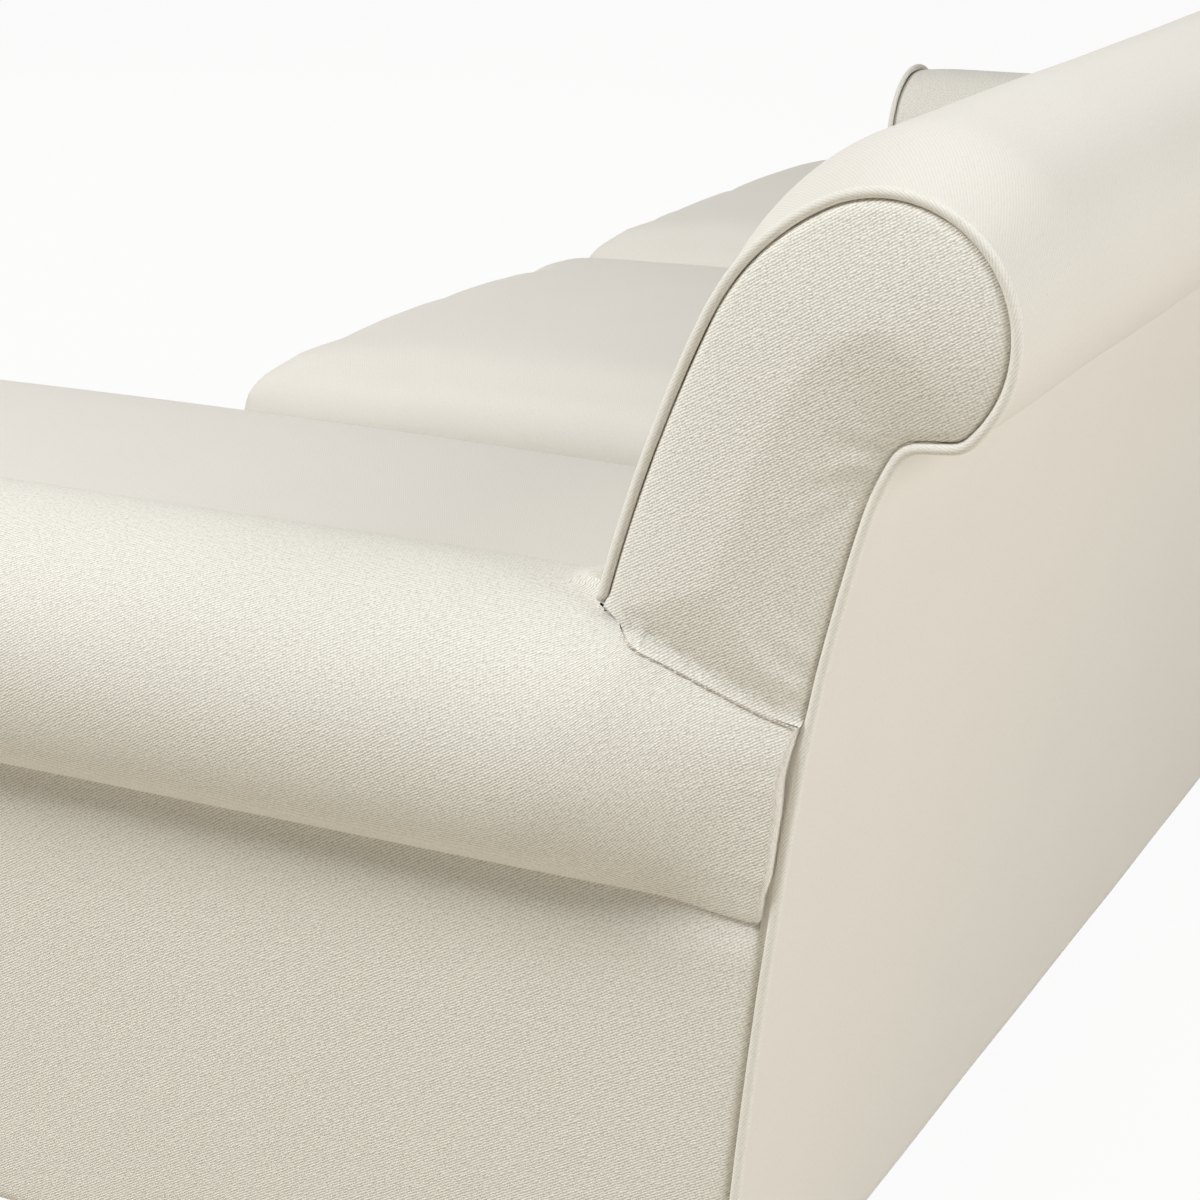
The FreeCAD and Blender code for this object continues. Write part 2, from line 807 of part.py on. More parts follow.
def crown_block(points):
    """A block with a crowned top, high in the middle of the cushion."""
    xs = [point.x for point in points]
    ys = [point.y for point in points]
    middle_x = (min(xs) + max(xs)) / 2
    wires = []
    steps = 4
    for step in range(steps + 1):
        share = step / steps
        y = min(ys) - cushion_tuck + (max(ys) - min(ys) + 2 * cushion_tuck) * share
        edge = deck_height + cushion_edge + cushion_crown_along * (1 - (2 * share - 1) ** 2)
        low_left = Vector(min(xs) - cushion_tuck, y, deck_height - cushion_tuck)
        low_right = Vector(max(xs) + cushion_tuck, y, deck_height - cushion_tuck)
        left = Vector(low_left.x, y, edge)
        right = Vector(low_right.x, y, edge)
        arc = Part.Arc(left, Vector(middle_x, y, edge + cushion_crown_across), right).toShape()
        wires.append(closed_wire([arc], [low_right, low_left]))
    return Part.makeLoft(wires, True, False)


def cushion(name, points, rear_y_low):
    """Sewn cover with its fibre wrap, round a foam core."""
    levels = ((0.0, 1.0), (0.14, 0.3), (0.4, 0.0), (0.65, 0.0), (0.84, 0.3), (0.97, 0.8), (1.2, 1.9))
    wires = []
    for share, tuck in levels:
        rise = share * cushion_edge
        inset = tuck * cushion_tuck
        level = []
        for point in points:
            back = rise * math.tan(lean) if point.y == rear_y_low else 0.0
            level.append(point + Vector(0, back, deck_height + rise))
        wires.append(rounded_wire(inset_points(level, inset), cushion_corner - inset))
    body = Part.makeLoft(wires, True, False).common(crown_block(points))
    core_low = Vector(0, 0, deck_height + cushion_wrap)
    core_points = [point + core_low for point in inset_points(points, cushion_wrap)]
    core = prism(core_points, Vector(0, 0, cushion_edge - 2 * cushion_wrap))
    export(name + "_cushion_cover", [largest(body.cut(core))])
    export(name + "_cushion_foam", [core])


def cushions():
    """A chaise cushion and an end cushion that pass in front of the arms, and one between them."""
    half_gap = cushion_gap / 2
    rear = front_y(deck_height, back_swell) - cushion_gap + back_y
    notch = arm_front - cushion_arm_gap + back_y
    for side, depth, inner_x in ((right, chaise_depth, chaise_inner_x + half_gap),
                                 (left, sofa_depth, left.x(arm_width + sofa_seat_width) - half_gap)):
        front = back_y - depth
        bay = side.x(arm_width + cushion_arm_gap)
        ear = side.x(cushion_gap)
        outline = [(inner_x, front), (ear, front), (ear, notch), (bay, notch), (bay, rear), (inner_x, rear)]
        if side is left:
            outline = list(reversed(outline))
        name = "chaise" if side is right else "end"
        cushion(name, [Vector(x, y, 0) for x, y in outline], rear)
    for seat in range(sofa_seats - 1):
        near = chaise_inner_x - seat * sofa_seat_width - half_gap
        far = chaise_inner_x - (seat + 1) * sofa_seat_width + half_gap
        front = back_y - sofa_depth
        outline = [(far, front), (near, front), (near, rear), (far, rear)]
        name = "middle" if seat == 0 else "middle_%d" % (seat + 1)
        cushion(name, [Vector(x, y, 0) for x, y in outline], rear)


os.makedirs("parts", exist_ok=True)
for base in bases:
    seat_frame(base)
    feet(base)
    under_cover(base)
    base_border(base)
    deck(base)
    suspension(base)
back_frame()
back_covers()
for side in sides:
    arm(side)
    welts(side)
connectors()
cushions()
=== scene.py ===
import bpy
import bmesh
import math
import numpy as np
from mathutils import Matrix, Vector, geometry, noise


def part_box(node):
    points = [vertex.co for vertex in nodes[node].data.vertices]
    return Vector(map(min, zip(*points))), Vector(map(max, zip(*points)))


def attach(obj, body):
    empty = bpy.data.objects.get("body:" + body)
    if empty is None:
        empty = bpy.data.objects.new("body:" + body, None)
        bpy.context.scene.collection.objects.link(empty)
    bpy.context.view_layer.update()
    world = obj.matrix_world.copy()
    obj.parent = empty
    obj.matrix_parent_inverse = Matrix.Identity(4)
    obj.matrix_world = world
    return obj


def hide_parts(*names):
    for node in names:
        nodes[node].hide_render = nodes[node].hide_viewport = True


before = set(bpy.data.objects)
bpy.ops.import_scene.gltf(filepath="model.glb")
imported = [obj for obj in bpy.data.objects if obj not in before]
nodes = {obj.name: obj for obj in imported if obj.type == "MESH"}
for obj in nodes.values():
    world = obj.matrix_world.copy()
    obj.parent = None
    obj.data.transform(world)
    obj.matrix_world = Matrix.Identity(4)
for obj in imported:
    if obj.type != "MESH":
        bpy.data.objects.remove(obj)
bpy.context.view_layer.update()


# Seat frame, back posts and arm frames: sawn hardwood rails, glued and screwed with corner blocks.
# They are closed in by the upholstery and show only in a section of the sofa.
class Value:
    """A socket of a material. Sums and products of values add Math nodes."""

    def __init__(self, tree, socket=None):
        self.tree = tree
        self.socket = socket

    def node(self, kind, settings=None, values=None, output=0):
        """Adds a node of a type, with its settings and then the values or links of its sockets."""
        made = self.tree.nodes.new(kind)
        for name, setting in (settings or {}).items():
            setattr(made, name, setting)
        for name, value in (values or {}).items():
            self.plug(made.inputs[name], value)
        return Value(self.tree, made.outputs[output])

    def plug(self, slot, value):
        """Sets a socket to a number or a colour, or links it to a value."""
        if isinstance(value, Value):
            self.tree.links.new(value.socket, slot)
        elif hasattr(value, "__len__") and len(value) == 3 and slot.type == "RGBA":
            slot.default_value = (*value, 1.0)
        else:
            slot.default_value = value

    def maths(self, operation, *terms):
        return self.node("ShaderNodeMath", {"operation": operation}, dict(enumerate(terms)))

    def __add__(self, other):
        return self.maths("ADD", self, other)

    def __sub__(self, other):
        return self.maths("SUBTRACT", self, other)

    def __rsub__(self, other):
        return self.maths("SUBTRACT", other, self)

    def __mul__(self, other):
        return self.maths("MULTIPLY", self, other)

    __radd__ = __add__
    __rmul__ = __mul__

    def wave(self):
        return self.maths("SINE", self)

    def limited(self):
        return self.node("ShaderNodeClamp", values={"Value": self})

    def mixed(self, first, second):
        """A colour between two colours."""
        return self.node("ShaderNodeMix", {"data_type": "RGBA"}, {0: self, 6: first, 7: second}, 2)

    def cloud(self, place, scale, detail, distortion=0.0):
        """Soft random patches from 0 to 1."""
        return self.node("ShaderNodeTexNoise", values={"Vector": place, "Scale": scale, "Detail": detail,
                                                       "Distortion": distortion})

    def bump(self, height, strength, distance):
        """A normal from a height in the material."""
        return self.node("ShaderNodeBump", values={"Strength": strength, "Distance": distance,
                                                   "Height": height})


def finish_of(name, **constants):
    """A new material, its shader and a value to start its nodes from."""
    material = bpy.data.materials.new(name)
    material.use_nodes = True
    shader = material.node_tree.nodes["Principled BSDF"]
    start = Value(material.node_tree)
    for socket, value in constants.items():
        start.plug(shader.inputs[socket.replace("_", " ")], value)
    return material, shader, start


def dress(material, words):
    """Gives a finish to the CAD nodes whose names end in one of the words."""
    for name, piece in nodes.items():
        if any(name.endswith(word) for word in words):
            piece.data.materials.clear()
            piece.data.materials.append(material)


def wood(name, pale, dark, roughness, grain):
    """Long grain with darker pores."""
    material, shader, start = finish_of(name)
    place = start.node("ShaderNodeTexCoord", output=3)
    along = start.node("ShaderNodeMapping", values={"Vector": place, "Scale": grain})
    rings = start.cloud(along, 9.0, 6.0, 0.6)
    pores = start.cloud(along, 70.0, 3.0)
    share = (rings * 1.5 - 0.25 + (pores - 0.5) * 0.35).limited()
    start.plug(shader.inputs["Base Color"], share.mixed(dark, pale))
    start.plug(shader.inputs["Roughness"], pores * 0.25 + roughness)
    start.plug(shader.inputs["Normal"], start.bump(pores, 0.25, 0.0006))
    return material


hardwood = wood("sawn_hardwood", (0.62, 0.47, 0.30), (0.42, 0.29, 0.17), 0.55, (1.0, 1.0, 8.0))
dress(hardwood, ("front_rail", "rear_rail", "side_rails", "cross_rails", "corner_blocks", "back_posts",
                 "back_top_rail", "arm_frame"))


# Springs, clips, bolts and connectors: drawn steel wire and pressed plate, the connectors powder coated.
# The zigzag springs carry the deck, the bolts hold the feet, the hooks hold the chaise base to the sofa.
def steel(name, colour, metallic, roughness):
    """Drawn or pressed metal with fine scuffs."""
    material, shader, start = finish_of(name, Metallic=metallic)
    place = start.node("ShaderNodeTexCoord", output=3)
    scuff = start.cloud(place, 180.0, 4.0)
    worn = [min(1.0, part * 1.4 + 0.02) for part in colour]
    start.plug(shader.inputs["Base Color"], (scuff * 1.6 - 0.5).limited().mixed(colour, worn))
    start.plug(shader.inputs["Roughness"], scuff * 0.3 + roughness)
    return material


dress(steel("spring_steel", (0.40, 0.40, 0.41), 1.0, 0.25), ("_springs", "spring_clips", "foot_bolts"))
dress(steel("coated_steel", (0.03, 0.03, 0.03), 0.0, 0.4), ("connector_sockets", "connector_hooks"))


# Webbing, dust cover and glides: elastic straps behind the padding, a thin black cloth under the rails,
# and a nylon disc nailed under each foot.
def plain_cloth(name, colour, pitch):
    """Plain woven or pressed cloth, from the place on the piece."""
    material, shader, start = finish_of(name, Sheen_Weight=0.2, Sheen_Roughness=0.5)
    place = start.node("ShaderNodeTexCoord", output=3)
    warp = start.node("ShaderNodeTexWave", {"bands_direction": "X"}, {"Vector": place, "Scale": 1 / pitch}, 1)
    weft = start.node("ShaderNodeTexWave", {"bands_direction": "Y"}, {"Vector": place, "Scale": 1 / pitch}, 1)
    soil = start.cloud(place, 14.0, 5.0)
    thread = warp * weft
    deep = [part * 0.7 for part in colour]
    start.plug(shader.inputs["Base Color"], (thread * 0.5 + soil * 0.6).limited().mixed(deep, colour))
    start.plug(shader.inputs["Roughness"], soil * 0.15 + 0.78)
    start.plug(shader.inputs["Normal"], start.bump(thread, 0.35, 0.0004))
    return material


dress(plain_cloth("elastic_webbing", (0.16, 0.15, 0.14), 0.02), ("back_webbing",))
dress(plain_cloth("black_dust_cloth", (0.05, 0.05, 0.05), 0.03), ("dust_cover",))
dress(steel("nylon_glide", (0.10, 0.09, 0.08), 0.0, 0.5), ("foot_glides",))


# Feet: turned tapered hardwood with a collar, stained dark and lacquered.
# Each is screwed on to a corner block of the seat frame by a hanger bolt.
stained = wood("dark_stained_wood", (0.17, 0.095, 0.05), (0.06, 0.03, 0.016), 0.28, (6.0, 6.0, 0.8))
dress(stained, ("_feet",))


# Base border: boards wrapped in thin padding and linen twill, stapled round the seat frame.
# They close the sofa's front and sides up to the arms, and go all round the chaise base.
def linen(name, contrast, cream=(0.80, 0.760, 0.692)):
    """Cream linen twill: slanted ridges of yarn with darker gaps, slubs and stray dark fibres."""
    ridge_pitch, yarn_pitch, slant = 0.0019, 0.0022, 0.58
    material, shader, start = finish_of(name, Sheen_Weight=0.12, Sheen_Roughness=0.45, Specular_IOR_Level=0.2)
    place = start.node("ShaderNodeUVMap", {"uv_map": "Weave"})
    across = start.node("ShaderNodeSeparateXYZ", values={"Vector": place})
    along = Value(start.tree, across.socket.node.outputs[1])
    slub = start.cloud(place, 420.0, 2.0)
    drift = start.cloud(place, 60.0, 2.0)
    blotch = start.cloud(place, 9.0, 4.0)
    bend = (slub - 0.5) * 5.0 + (drift - 0.5) * 4.0
    ridge = ((across * slant - along) * (2 * math.pi / ridge_pitch) + bend).wave() * 0.5 + 0.5
    yarn = ((across + along * 0.3) * (2 * math.pi / yarn_pitch) + bend * 1.4).wave() * 0.5 + 0.5
    height = ridge * (yarn * 0.5 + 0.5) + (slub - 0.5) * 0.9
    fibre = start.cloud(place, 560.0, 1.0)
    fleck = ((fibre - 0.735) * 22.0).limited() * 0.35
    gap = ((0.52 - height) * contrast * 1.8 + (blotch - 0.5) * 0.10 + 0.03).limited()
    deep = [cream[0] * 0.62, cream[1] * 0.60, cream[2] * 0.56]
    woven = gap.mixed(cream, deep)
    start.plug(shader.inputs["Base Color"], fleck.mixed(woven, (0.42, 0.36, 0.27)))
    start.plug(shader.inputs["Roughness"], gap * 0.15 + 0.8)
    start.plug(shader.inputs["Normal"], start.bump(height, 0.55 * contrast, 0.0007))
    return material


soft_linen = linen("linen_twill_brushed", 0.16)


def fit(piece, body, slot, *replaced):
    """The piece rides on a body and stands for CAD nodes, which it hides; its slot is not used."""
    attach(piece, body)
    if replaced:
        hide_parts(*replaced)
    return piece


def box_weave(piece):
    """Lays the weave on each face from the side that the face looks to."""
    mesh = piece.data
    layer = mesh.uv_layers.get("Weave") or mesh.uv_layers.new(name="Weave")
    places = np.array([corner.co for corner in mesh.vertices])
    flat = np.zeros((len(mesh.loops), 2), np.float32)
    for face in mesh.polygons:
        way = max(range(3), key=lambda axis: abs(face.normal[axis]))
        pair = ((1, 2), (0, 2), (0, 1))[way]
        for loop, corner in zip(face.loop_indices, face.vertices):
            flat[loop] = places[corner][list(pair)]
    layer.uv.foreach_set("vector", flat.ravel())


def padded_board(name, low, high, puff, material):
    """A board with soft edges whose faces swell a little."""
    shape = bmesh.new()
    bmesh.ops.create_cube(shape, size=1.0)
    size = Vector(high) - Vector(low)
    bmesh.ops.scale(shape, vec=size, verts=shape.verts)
    bmesh.ops.translate(shape, vec=(Vector(low) + Vector(high)) / 2, verts=shape.verts)
    for axis in range(3):
        count = max(2, int(size[axis] / 0.03))
        for cut in range(1, count):
            place = Vector(low)
            place[axis] += size[axis] * cut / count
            way = Vector((0, 0, 0))
            way[axis] = 1
            everything = shape.verts[:] + shape.edges[:] + shape.faces[:]
            bmesh.ops.bisect_plane(shape, geom=everything, plane_co=place, plane_no=way)
    thin = min(range(3), key=lambda axis: size[axis])
    middle = (Vector(low) + Vector(high)) / 2
    for corner in shape.verts:
        share = [1 - abs(corner.co[axis] - middle[axis]) / (size[axis] / 2) for axis in range(3)]
        rim = min(share[axis] * size[axis] / 2 for axis in range(3) if axis != thin)
        swell = puff * (1 - math.exp(-rim / 0.012)) - puff
        corner.co[thin] += math.copysign(swell, corner.co[thin] - middle[thin])
    mesh = bpy.data.meshes.new(name)
    shape.to_mesh(mesh)
    shape.free()
    mesh.materials.append(material)
    mesh.polygons.foreach_set("use_smooth", np.ones(len(mesh.polygons), bool))
    piece = bpy.data.objects.new(name, mesh)
    bpy.context.scene.collection.objects.link(piece)
    soften = piece.modifiers.new("soft_edges", "SUBSURF")
    soften.levels = soften.render_levels = 1
    box_weave(piece)
    return piece


half_width = 1.1595
base_z, deck_z = 0.128, 0.300
cover = 0.016
sofa_front, border_rear = -0.868, -0.719
chaise_front, chaise_rear, chaise_width = -1.440, -0.880, 0.775
full_width = 2 * half_width
roll_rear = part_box("inside_back")[1].y


def path_lengths(points):
    """Length along a line of points, at each point."""
    return np.concatenate([[0], np.cumsum(np.linalg.norm(np.diff(points, axis=0), axis=1))])


def walk(start, heading, runs, step):
    """Points, outward normals and lengths along an outline of straight runs and arcs.

    A heading of 0 points up and 90 to the right, and the outside is on the left of the path.
    """
    u, v = start
    angle = math.radians(heading)
    points, normals = [], []
    for size, turn in runs:
        length = size if turn == 0 else size * math.radians(abs(turn))
        count = max(3, round(length / step))
        for _ in range(count):
            points.append((u, v))
            normals.append((-math.cos(angle), math.sin(angle)))
            angle += math.radians(turn) / count / 2
            u += length / count * math.sin(angle)
            v += length / count * math.cos(angle)
            angle += math.radians(turn) / count / 2
    points.append((u, v))
    normals.append((-math.cos(angle), math.sin(angle)))
    points = np.array(points)
    return points, np.array(normals), path_lengths(points)


arm_top = 0.6325
back_lean = 15.0
back_start = (-0.075, arm_top)
front_runs = [(0.975, 10.6), (0.141, 39.5)]
roll_runs = [(0.071, 160.0)]
roll_line = walk(back_start, back_lean, front_runs + roll_runs, 0.006)
roll_padding = 0.017
back_y = roll_rear - roll_padding - roll_line[0][:, 0].max()

sofa_strips = (
    ("front", (0.0, sofa_front), (full_width, sofa_front + cover)),
    ("right_end", (0.0, sofa_front + cover), (cover, border_rear)),
    ("left_end", (full_width - cover, sofa_front + cover), (full_width, border_rear)),
)
chaise_strips = (
    ("front", (0.0, chaise_front), (chaise_width, chaise_front + cover)),
    ("outer", (0.0, chaise_front + cover), (cover, chaise_rear)),
    ("inner", (chaise_width - cover, chaise_front + cover), (chaise_width, chaise_rear)),
    ("rear", (cover, chaise_rear - cover), (chaise_width - cover, chaise_rear)),
)
border_puff = 0.0015
for base, strips in (("sofa", sofa_strips), ("chaise_base", chaise_strips)):
    for place, near, far in strips:
        ends = [(half_width - inward, y + back_y, z) for (inward, y), z in ((near, base_z), (far, deck_z))]
        low, high = np.min(ends, axis=0), np.max(ends, axis=0)
        board = padded_board(base + "_border_" + place, low, high, border_puff, soft_linen)
        fit(board, base, "cover_fabric", *([base + "_border"] if place == "front" else []))


# Deck: a pad of felt under plain cloth, laid over the springs and stapled to the rails.
# It carries the loose cushions and shows only when they are lifted.
deck_cloth = plain_cloth("deck_cloth", (0.75, 0.71, 0.64), 0.012)
for base in ("sofa", "chaise_base"):
    deck = padded_board(base + "_deck_pad", *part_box(base + "_deck"), 0.002, deck_cloth)
    fit(deck, base, "deck_cloth", base + "_deck")


# Rolled arms: a board on two posts, wrapped in padding, with one piece of linen pulled over the roll.
# It is tacked in a crease under the roll, and drawn in to the welt where the arm meets the outside back.
near_linen = linen("linen_twill", 0.88, (0.92, 0.887, 0.812))
sides = (("right", 1), ("left", -1))
tuck_runs = [(0.014, 40.0), (0.018, 0.0)]
neck_runs = [(0.020, -54.0)]
rear_runs = [(0.156, -14.4), (1.258, -8.0), (4.5, -5.6)]
crease_heading, neck_heading = 265.1, 211.1
crease = walk(back_start, back_lean, front_runs + roll_runs + tuck_runs, 0.004)[0][-1]
neck = walk(crease, crease_heading, neck_runs, 0.002)[0][-1]
rear_line = walk(neck, neck_heading, rear_runs, 0.004)[0]
rear_line = rear_line[rear_line[:, 1] > base_z]


def rear_y(z):
    """Place of the outside back at a height, in the row's frame."""
    return back_y + np.interp(z, rear_line[::-1, 1], rear_line[::-1, 0])


def smooth(share):
    share = np.clip(share, 0.0, 1.0)
    return share * share * (3 - 2 * share)


def ripple(points, size, seed):
    """Slow uneven waves over a surface, from -1 to 1."""
    away = Vector((seed * 7.3, seed * 3.1, seed * 5.7))
    return np.array([noise.noise(Vector(point) / size + away) for point in np.asarray(points).reshape(-1, 3)])


def piece_of(name, points, faces, weave, material, facing=None):
    """A smooth mesh piece with its weave laid out in metres, turned to face a direction."""
    mesh = bpy.data.meshes.new(name)
    mesh.from_pydata([tuple(point) for point in points], [], faces)
    layer = mesh.uv_layers.new(name="Weave")
    corners = np.zeros(len(mesh.loops), np.int32)
    mesh.loops.foreach_get("vertex_index", corners)
    layer.uv.foreach_set("vector", np.asarray(weave, np.float32)[corners].ravel())
    mesh.polygons.foreach_set("use_smooth", np.ones(len(mesh.polygons), bool))
    mesh.materials.append(material)
    mesh.update()
    if facing is not None:
        total = sum((face.normal * face.area for face in mesh.polygons), Vector())
        if total.dot(Vector(facing)) < 0:
            mesh.flip_normals()
    piece = bpy.data.objects.new(name, mesh)
    bpy.context.scene.collection.objects.link(piece)
    return piece


def grid_faces(rows, columns):
    """Four-sided faces of a sheet of points."""
    first = np.arange(rows * columns).reshape(rows, columns)[:-1, :-1].ravel()
    return np.stack([first, first + 1, first + columns + 1, first + columns], 1).tolist()


arm_width, arm_front, arm_centre_z = 0.130, -0.735, 0.5415
crease_turn, crease_inset = math.radians(65.0), 0.0006
arm_radius = (arm_width - crease_inset) / (1 + math.cos(crease_turn))
arm_inward = arm_width - arm_radius
crease_z = arm_centre_z - arm_radius * math.sin(crease_turn)
arm_seam = np.array([(-0.077, 0.633), (-0.064, 0.624), (-0.048, 0.612), (-0.030, 0.604), (-0.013, 0.597),
                     (0.011, 0.588), (0.028, 0.582), (0.045, 0.578)])


def arm_section(reach, rise):
    """Inside of the arm, over the roll and in to the crease, as (inward, z)."""
    wall = np.stack([np.full(16, arm_width), np.linspace(deck_z, arm_centre_z, 17)[:-1]], 1)
    turn = np.linspace(0, math.pi / 2, 16)
    inner = np.stack([arm_inward + arm_radius * np.cos(turn), arm_centre_z + rise * np.sin(turn)], 1)
    turn = np.linspace(math.pi / 2, math.pi, 22)[1:]
    outer = np.stack([arm_inward + reach * np.cos(turn), arm_centre_z + rise * np.sin(turn)], 1)
    turn = np.linspace(0, crease_turn, 16)[1:]
    under = np.stack([arm_inward - reach * np.cos(turn), arm_centre_z - arm_radius * np.sin(turn)], 1)
    under[:, 0] += (crease_inset - under[-1, 0]) * (turn / crease_turn) ** 2
    tuck = np.array([(0.004, crease_z + 0.0015), (0.014, crease_z + 0.004)])
    return np.concatenate([wall, inner, outer, under, tuck])


def outward(section):
    """Directions out of the arm along its section."""
    ahead = np.gradient(section, axis=0)
    square = np.stack([ahead[:, 1], -ahead[:, 0]], 1)
    return square / (np.linalg.norm(square, axis=1)[:, None] + 1e-9)


def rolled_arm(hand, side):
    """Linen over one arm, from the front welt to the rear welt."""
    shares = np.concatenate([np.linspace(0, 0.04, 8)[:-1], np.linspace(0.04, 0.82, 44)[:-1],
                             np.linspace(0.82, 0.995, 40)])
    full = arm_section(arm_radius, arm_radius)
    lengths = path_lengths(full)
    rear_end = rear_y(full[:, 1]) - back_y - 0.0014
    high_part = smooth((full[:, 1] - 0.525) / 0.03)
    low_part = smooth((0.487 - full[:, 1]) / 0.006)
    hidden = smooth((full[:, 0] - 0.012) / 0.02)
    rear_end = rear_end - 0.0024 * high_part - 0.0024 * low_part - 0.060 * hidden
    begin = arm_front + 0.006
    pulled_reach, padding_swell, drawn_in = 0.048, 0.003, 0.002
    rows = []
    for share in shares:
        y = begin + share * (0.032 - begin)
        pull = smooth((y + 0.115) / 0.150)
        reach = arm_radius + (pulled_reach - arm_radius) * pull
        seam = np.interp(y, arm_seam[:, 0], arm_seam[:, 1])
        level = (seam - arm_centre_z) / math.sqrt(1 - (arm_inward / reach) ** 2)
        rise = arm_radius + (level - arm_radius) * smooth((y + 0.085) / 0.03)
        section = arm_section(reach, rise)
        swell = padding_swell * smooth((y - begin) / 0.06) * smooth((-0.02 - y) / 0.12)
        swell -= drawn_in * (1 - smooth((y - begin) / 0.012))
        section = section + outward(section) * swell * np.clip((section[:, 1:] - crease_z) / 0.03, 0, 1)
        section[:, 1] -= 0.006 * smooth((y + 0.035) / 0.06) * smooth((arm_centre_z - section[:, 1]) / 0.06)
        ys = begin + share * (rear_end - begin)
        rows.append(np.stack([section[:, 0], ys, section[:, 1]], 1))
    edge, edge_radius = rows[-1], 0.0045
    for turn in (0.35, 0.7, 1.0, 1.3, 1.57):
        closing = edge.copy()
        closing[:, 1] = edge[:, 1] + (rear_end - edge[:, 1]) * math.sin(turn)
        shrink = edge_radius * (1 - math.cos(turn))
        closing[:, [0, 2]] -= outward(edge[:, [0, 2]]) * shrink
        rows.append(closing)
    tucked = rows[-1].copy()
    tucked[:, 0] += 0.016
    tucked[:, 1] -= 0.0010
    rows.append(tucked)
    grid = np.array(rows)
    pleat_depth, unevenness = 0.0007, 0.0012
    to_rear = np.maximum(rear_end[None, :] - grid[:, :, 1], 0)
    pleat = np.sin(lengths[None, :] / 0.0024 + 2.2 * np.sin(lengths[None, :] / 0.011))
    grid[:, :, 0] += pleat_depth * pleat * np.exp(-to_rear / 0.016) * (to_rear > 0.002)
    points = np.stack([side * (half_width - grid[:, :, 0]), grid[:, :, 1] + back_y, grid[:, :, 2]], 2)
    waves = ripple(points, 0.11, 3).reshape(points.shape[:2])
    points[:, :, 0] += side * unevenness * waves * smooth(to_rear / 0.05)
    pieces = np.linalg.norm(np.diff(grid[:, :, [0, 2]], axis=1), axis=2)
    above = np.cumsum(pieces[:, ::-1], axis=1)[:, ::-1]
    above = np.concatenate([above, np.zeros((len(grid), 1))], 1)
    steps = np.linalg.norm(np.diff(grid, axis=0), axis=2)
    behind = begin + np.concatenate([np.zeros((1, steps.shape[1])), np.cumsum(steps, axis=0)])
    weave = np.stack([behind, above], 2)
    count = points.shape[:2]
    roll = piece_of(hand + "_arm_roll", points.reshape(-1, 3), grid_faces(*count), weave.reshape(-1, 2),
                    near_linen, (side * 0.6, 0, 1))
    return roll, grid


for hand, side in sides:
    roll, arm_shape = rolled_arm(hand, side)
    fit(roll, "sofa", "cover_fabric", hand + "_arm_padding")
    smoother = roll.modifiers.new("smooth_roll", "SUBSURF")
    smoother.levels = smoother.render_levels = 1


# Outside arms: linen over thin padding, blind-tacked in the crease under the roll,
# welted to the outside back behind and turned under at the base.
def outside_arm(hand, side):
    """Flat side of an arm, set in along its edges."""
    heights = np.concatenate([np.linspace(base_z - 0.002, base_z + 0.012, 5)[:-1],
                              np.linspace(base_z + 0.012, crease_z + 0.004, 46)])
    shares = np.concatenate([np.linspace(0, 0.02, 6)[:-1], np.linspace(0.02, 0.97, 60)[:-1],
                             np.linspace(0.97, 1, 14)])
    z, share = np.meshgrid(heights, shares, indexing="ij")
    end = rear_y(z) - 0.0008
    y = arm_front + 0.002 + back_y + share * (end - arm_front - 0.002 - back_y)
    rim = np.minimum.reduce([z - base_z, y - arm_front - back_y, end - y])
    padding, set_in, tuck = 0.0015, 0.006, 0.0065
    depth = padding * (1 - np.exp(-rim / 0.02)) - set_in * np.exp(-rim / 0.0022)
    depth -= tuck * smooth((z - crease_z + 0.030) / 0.034)
    points = np.stack([np.full_like(y, half_width), y, z], 2)
    depth += 0.0010 * ripple(points, 0.16, 5).reshape(y.shape) * smooth(rim / 0.03)
    points[:, :, 0] = side * (half_width + depth)
    weave = np.stack([y, z], 2)
    return piece_of(hand + "_arm_side", points.reshape(-1, 3), grid_faces(*y.shape), weave.reshape(-1, 2),
                    near_linen, (side, 0, 0))


for hand, side in sides:
    fit(outside_arm(hand, side), "sofa", "cover_fabric", hand + "_outside_arm")


# Arm fronts and scroll ends: panels of linen over board and felt, cut to the outline and slip-stitched
# inside their welt, so that each swells a little between its edges.
def inside(points, outline):
    """Which points lie inside a closed outline."""
    x, y = points[:, None, 0], points[:, None, 1]
    a, b = outline, np.roll(outline, -1, axis=0)
    crosses = (a[None, :, 1] > y) != (b[None, :, 1] > y)
    run = np.where(b[:, 1] == a[:, 1], 1e-12, b[:, 1] - a[:, 1])
    return ((x < (b[:, 0] - a[:, 0]) * (y - a[:, 1]) / run + a[:, 0]) & crosses).sum(1) % 2 == 1


def distance(points, line, closed=True):
    """Distance of points from a run of straight pieces."""
    a = line if closed else line[:-1]
    b = np.roll(line, -1, axis=0) if closed else line[1:]
    way = b - a
    share = ((points[:, None] - a) * way).sum(2) / np.maximum((way * way).sum(1), 1e-12)
    near = a + np.clip(share, 0, 1)[:, :, None] * way
    return np.linalg.norm(points[:, None] - near, axis=2).min(1)


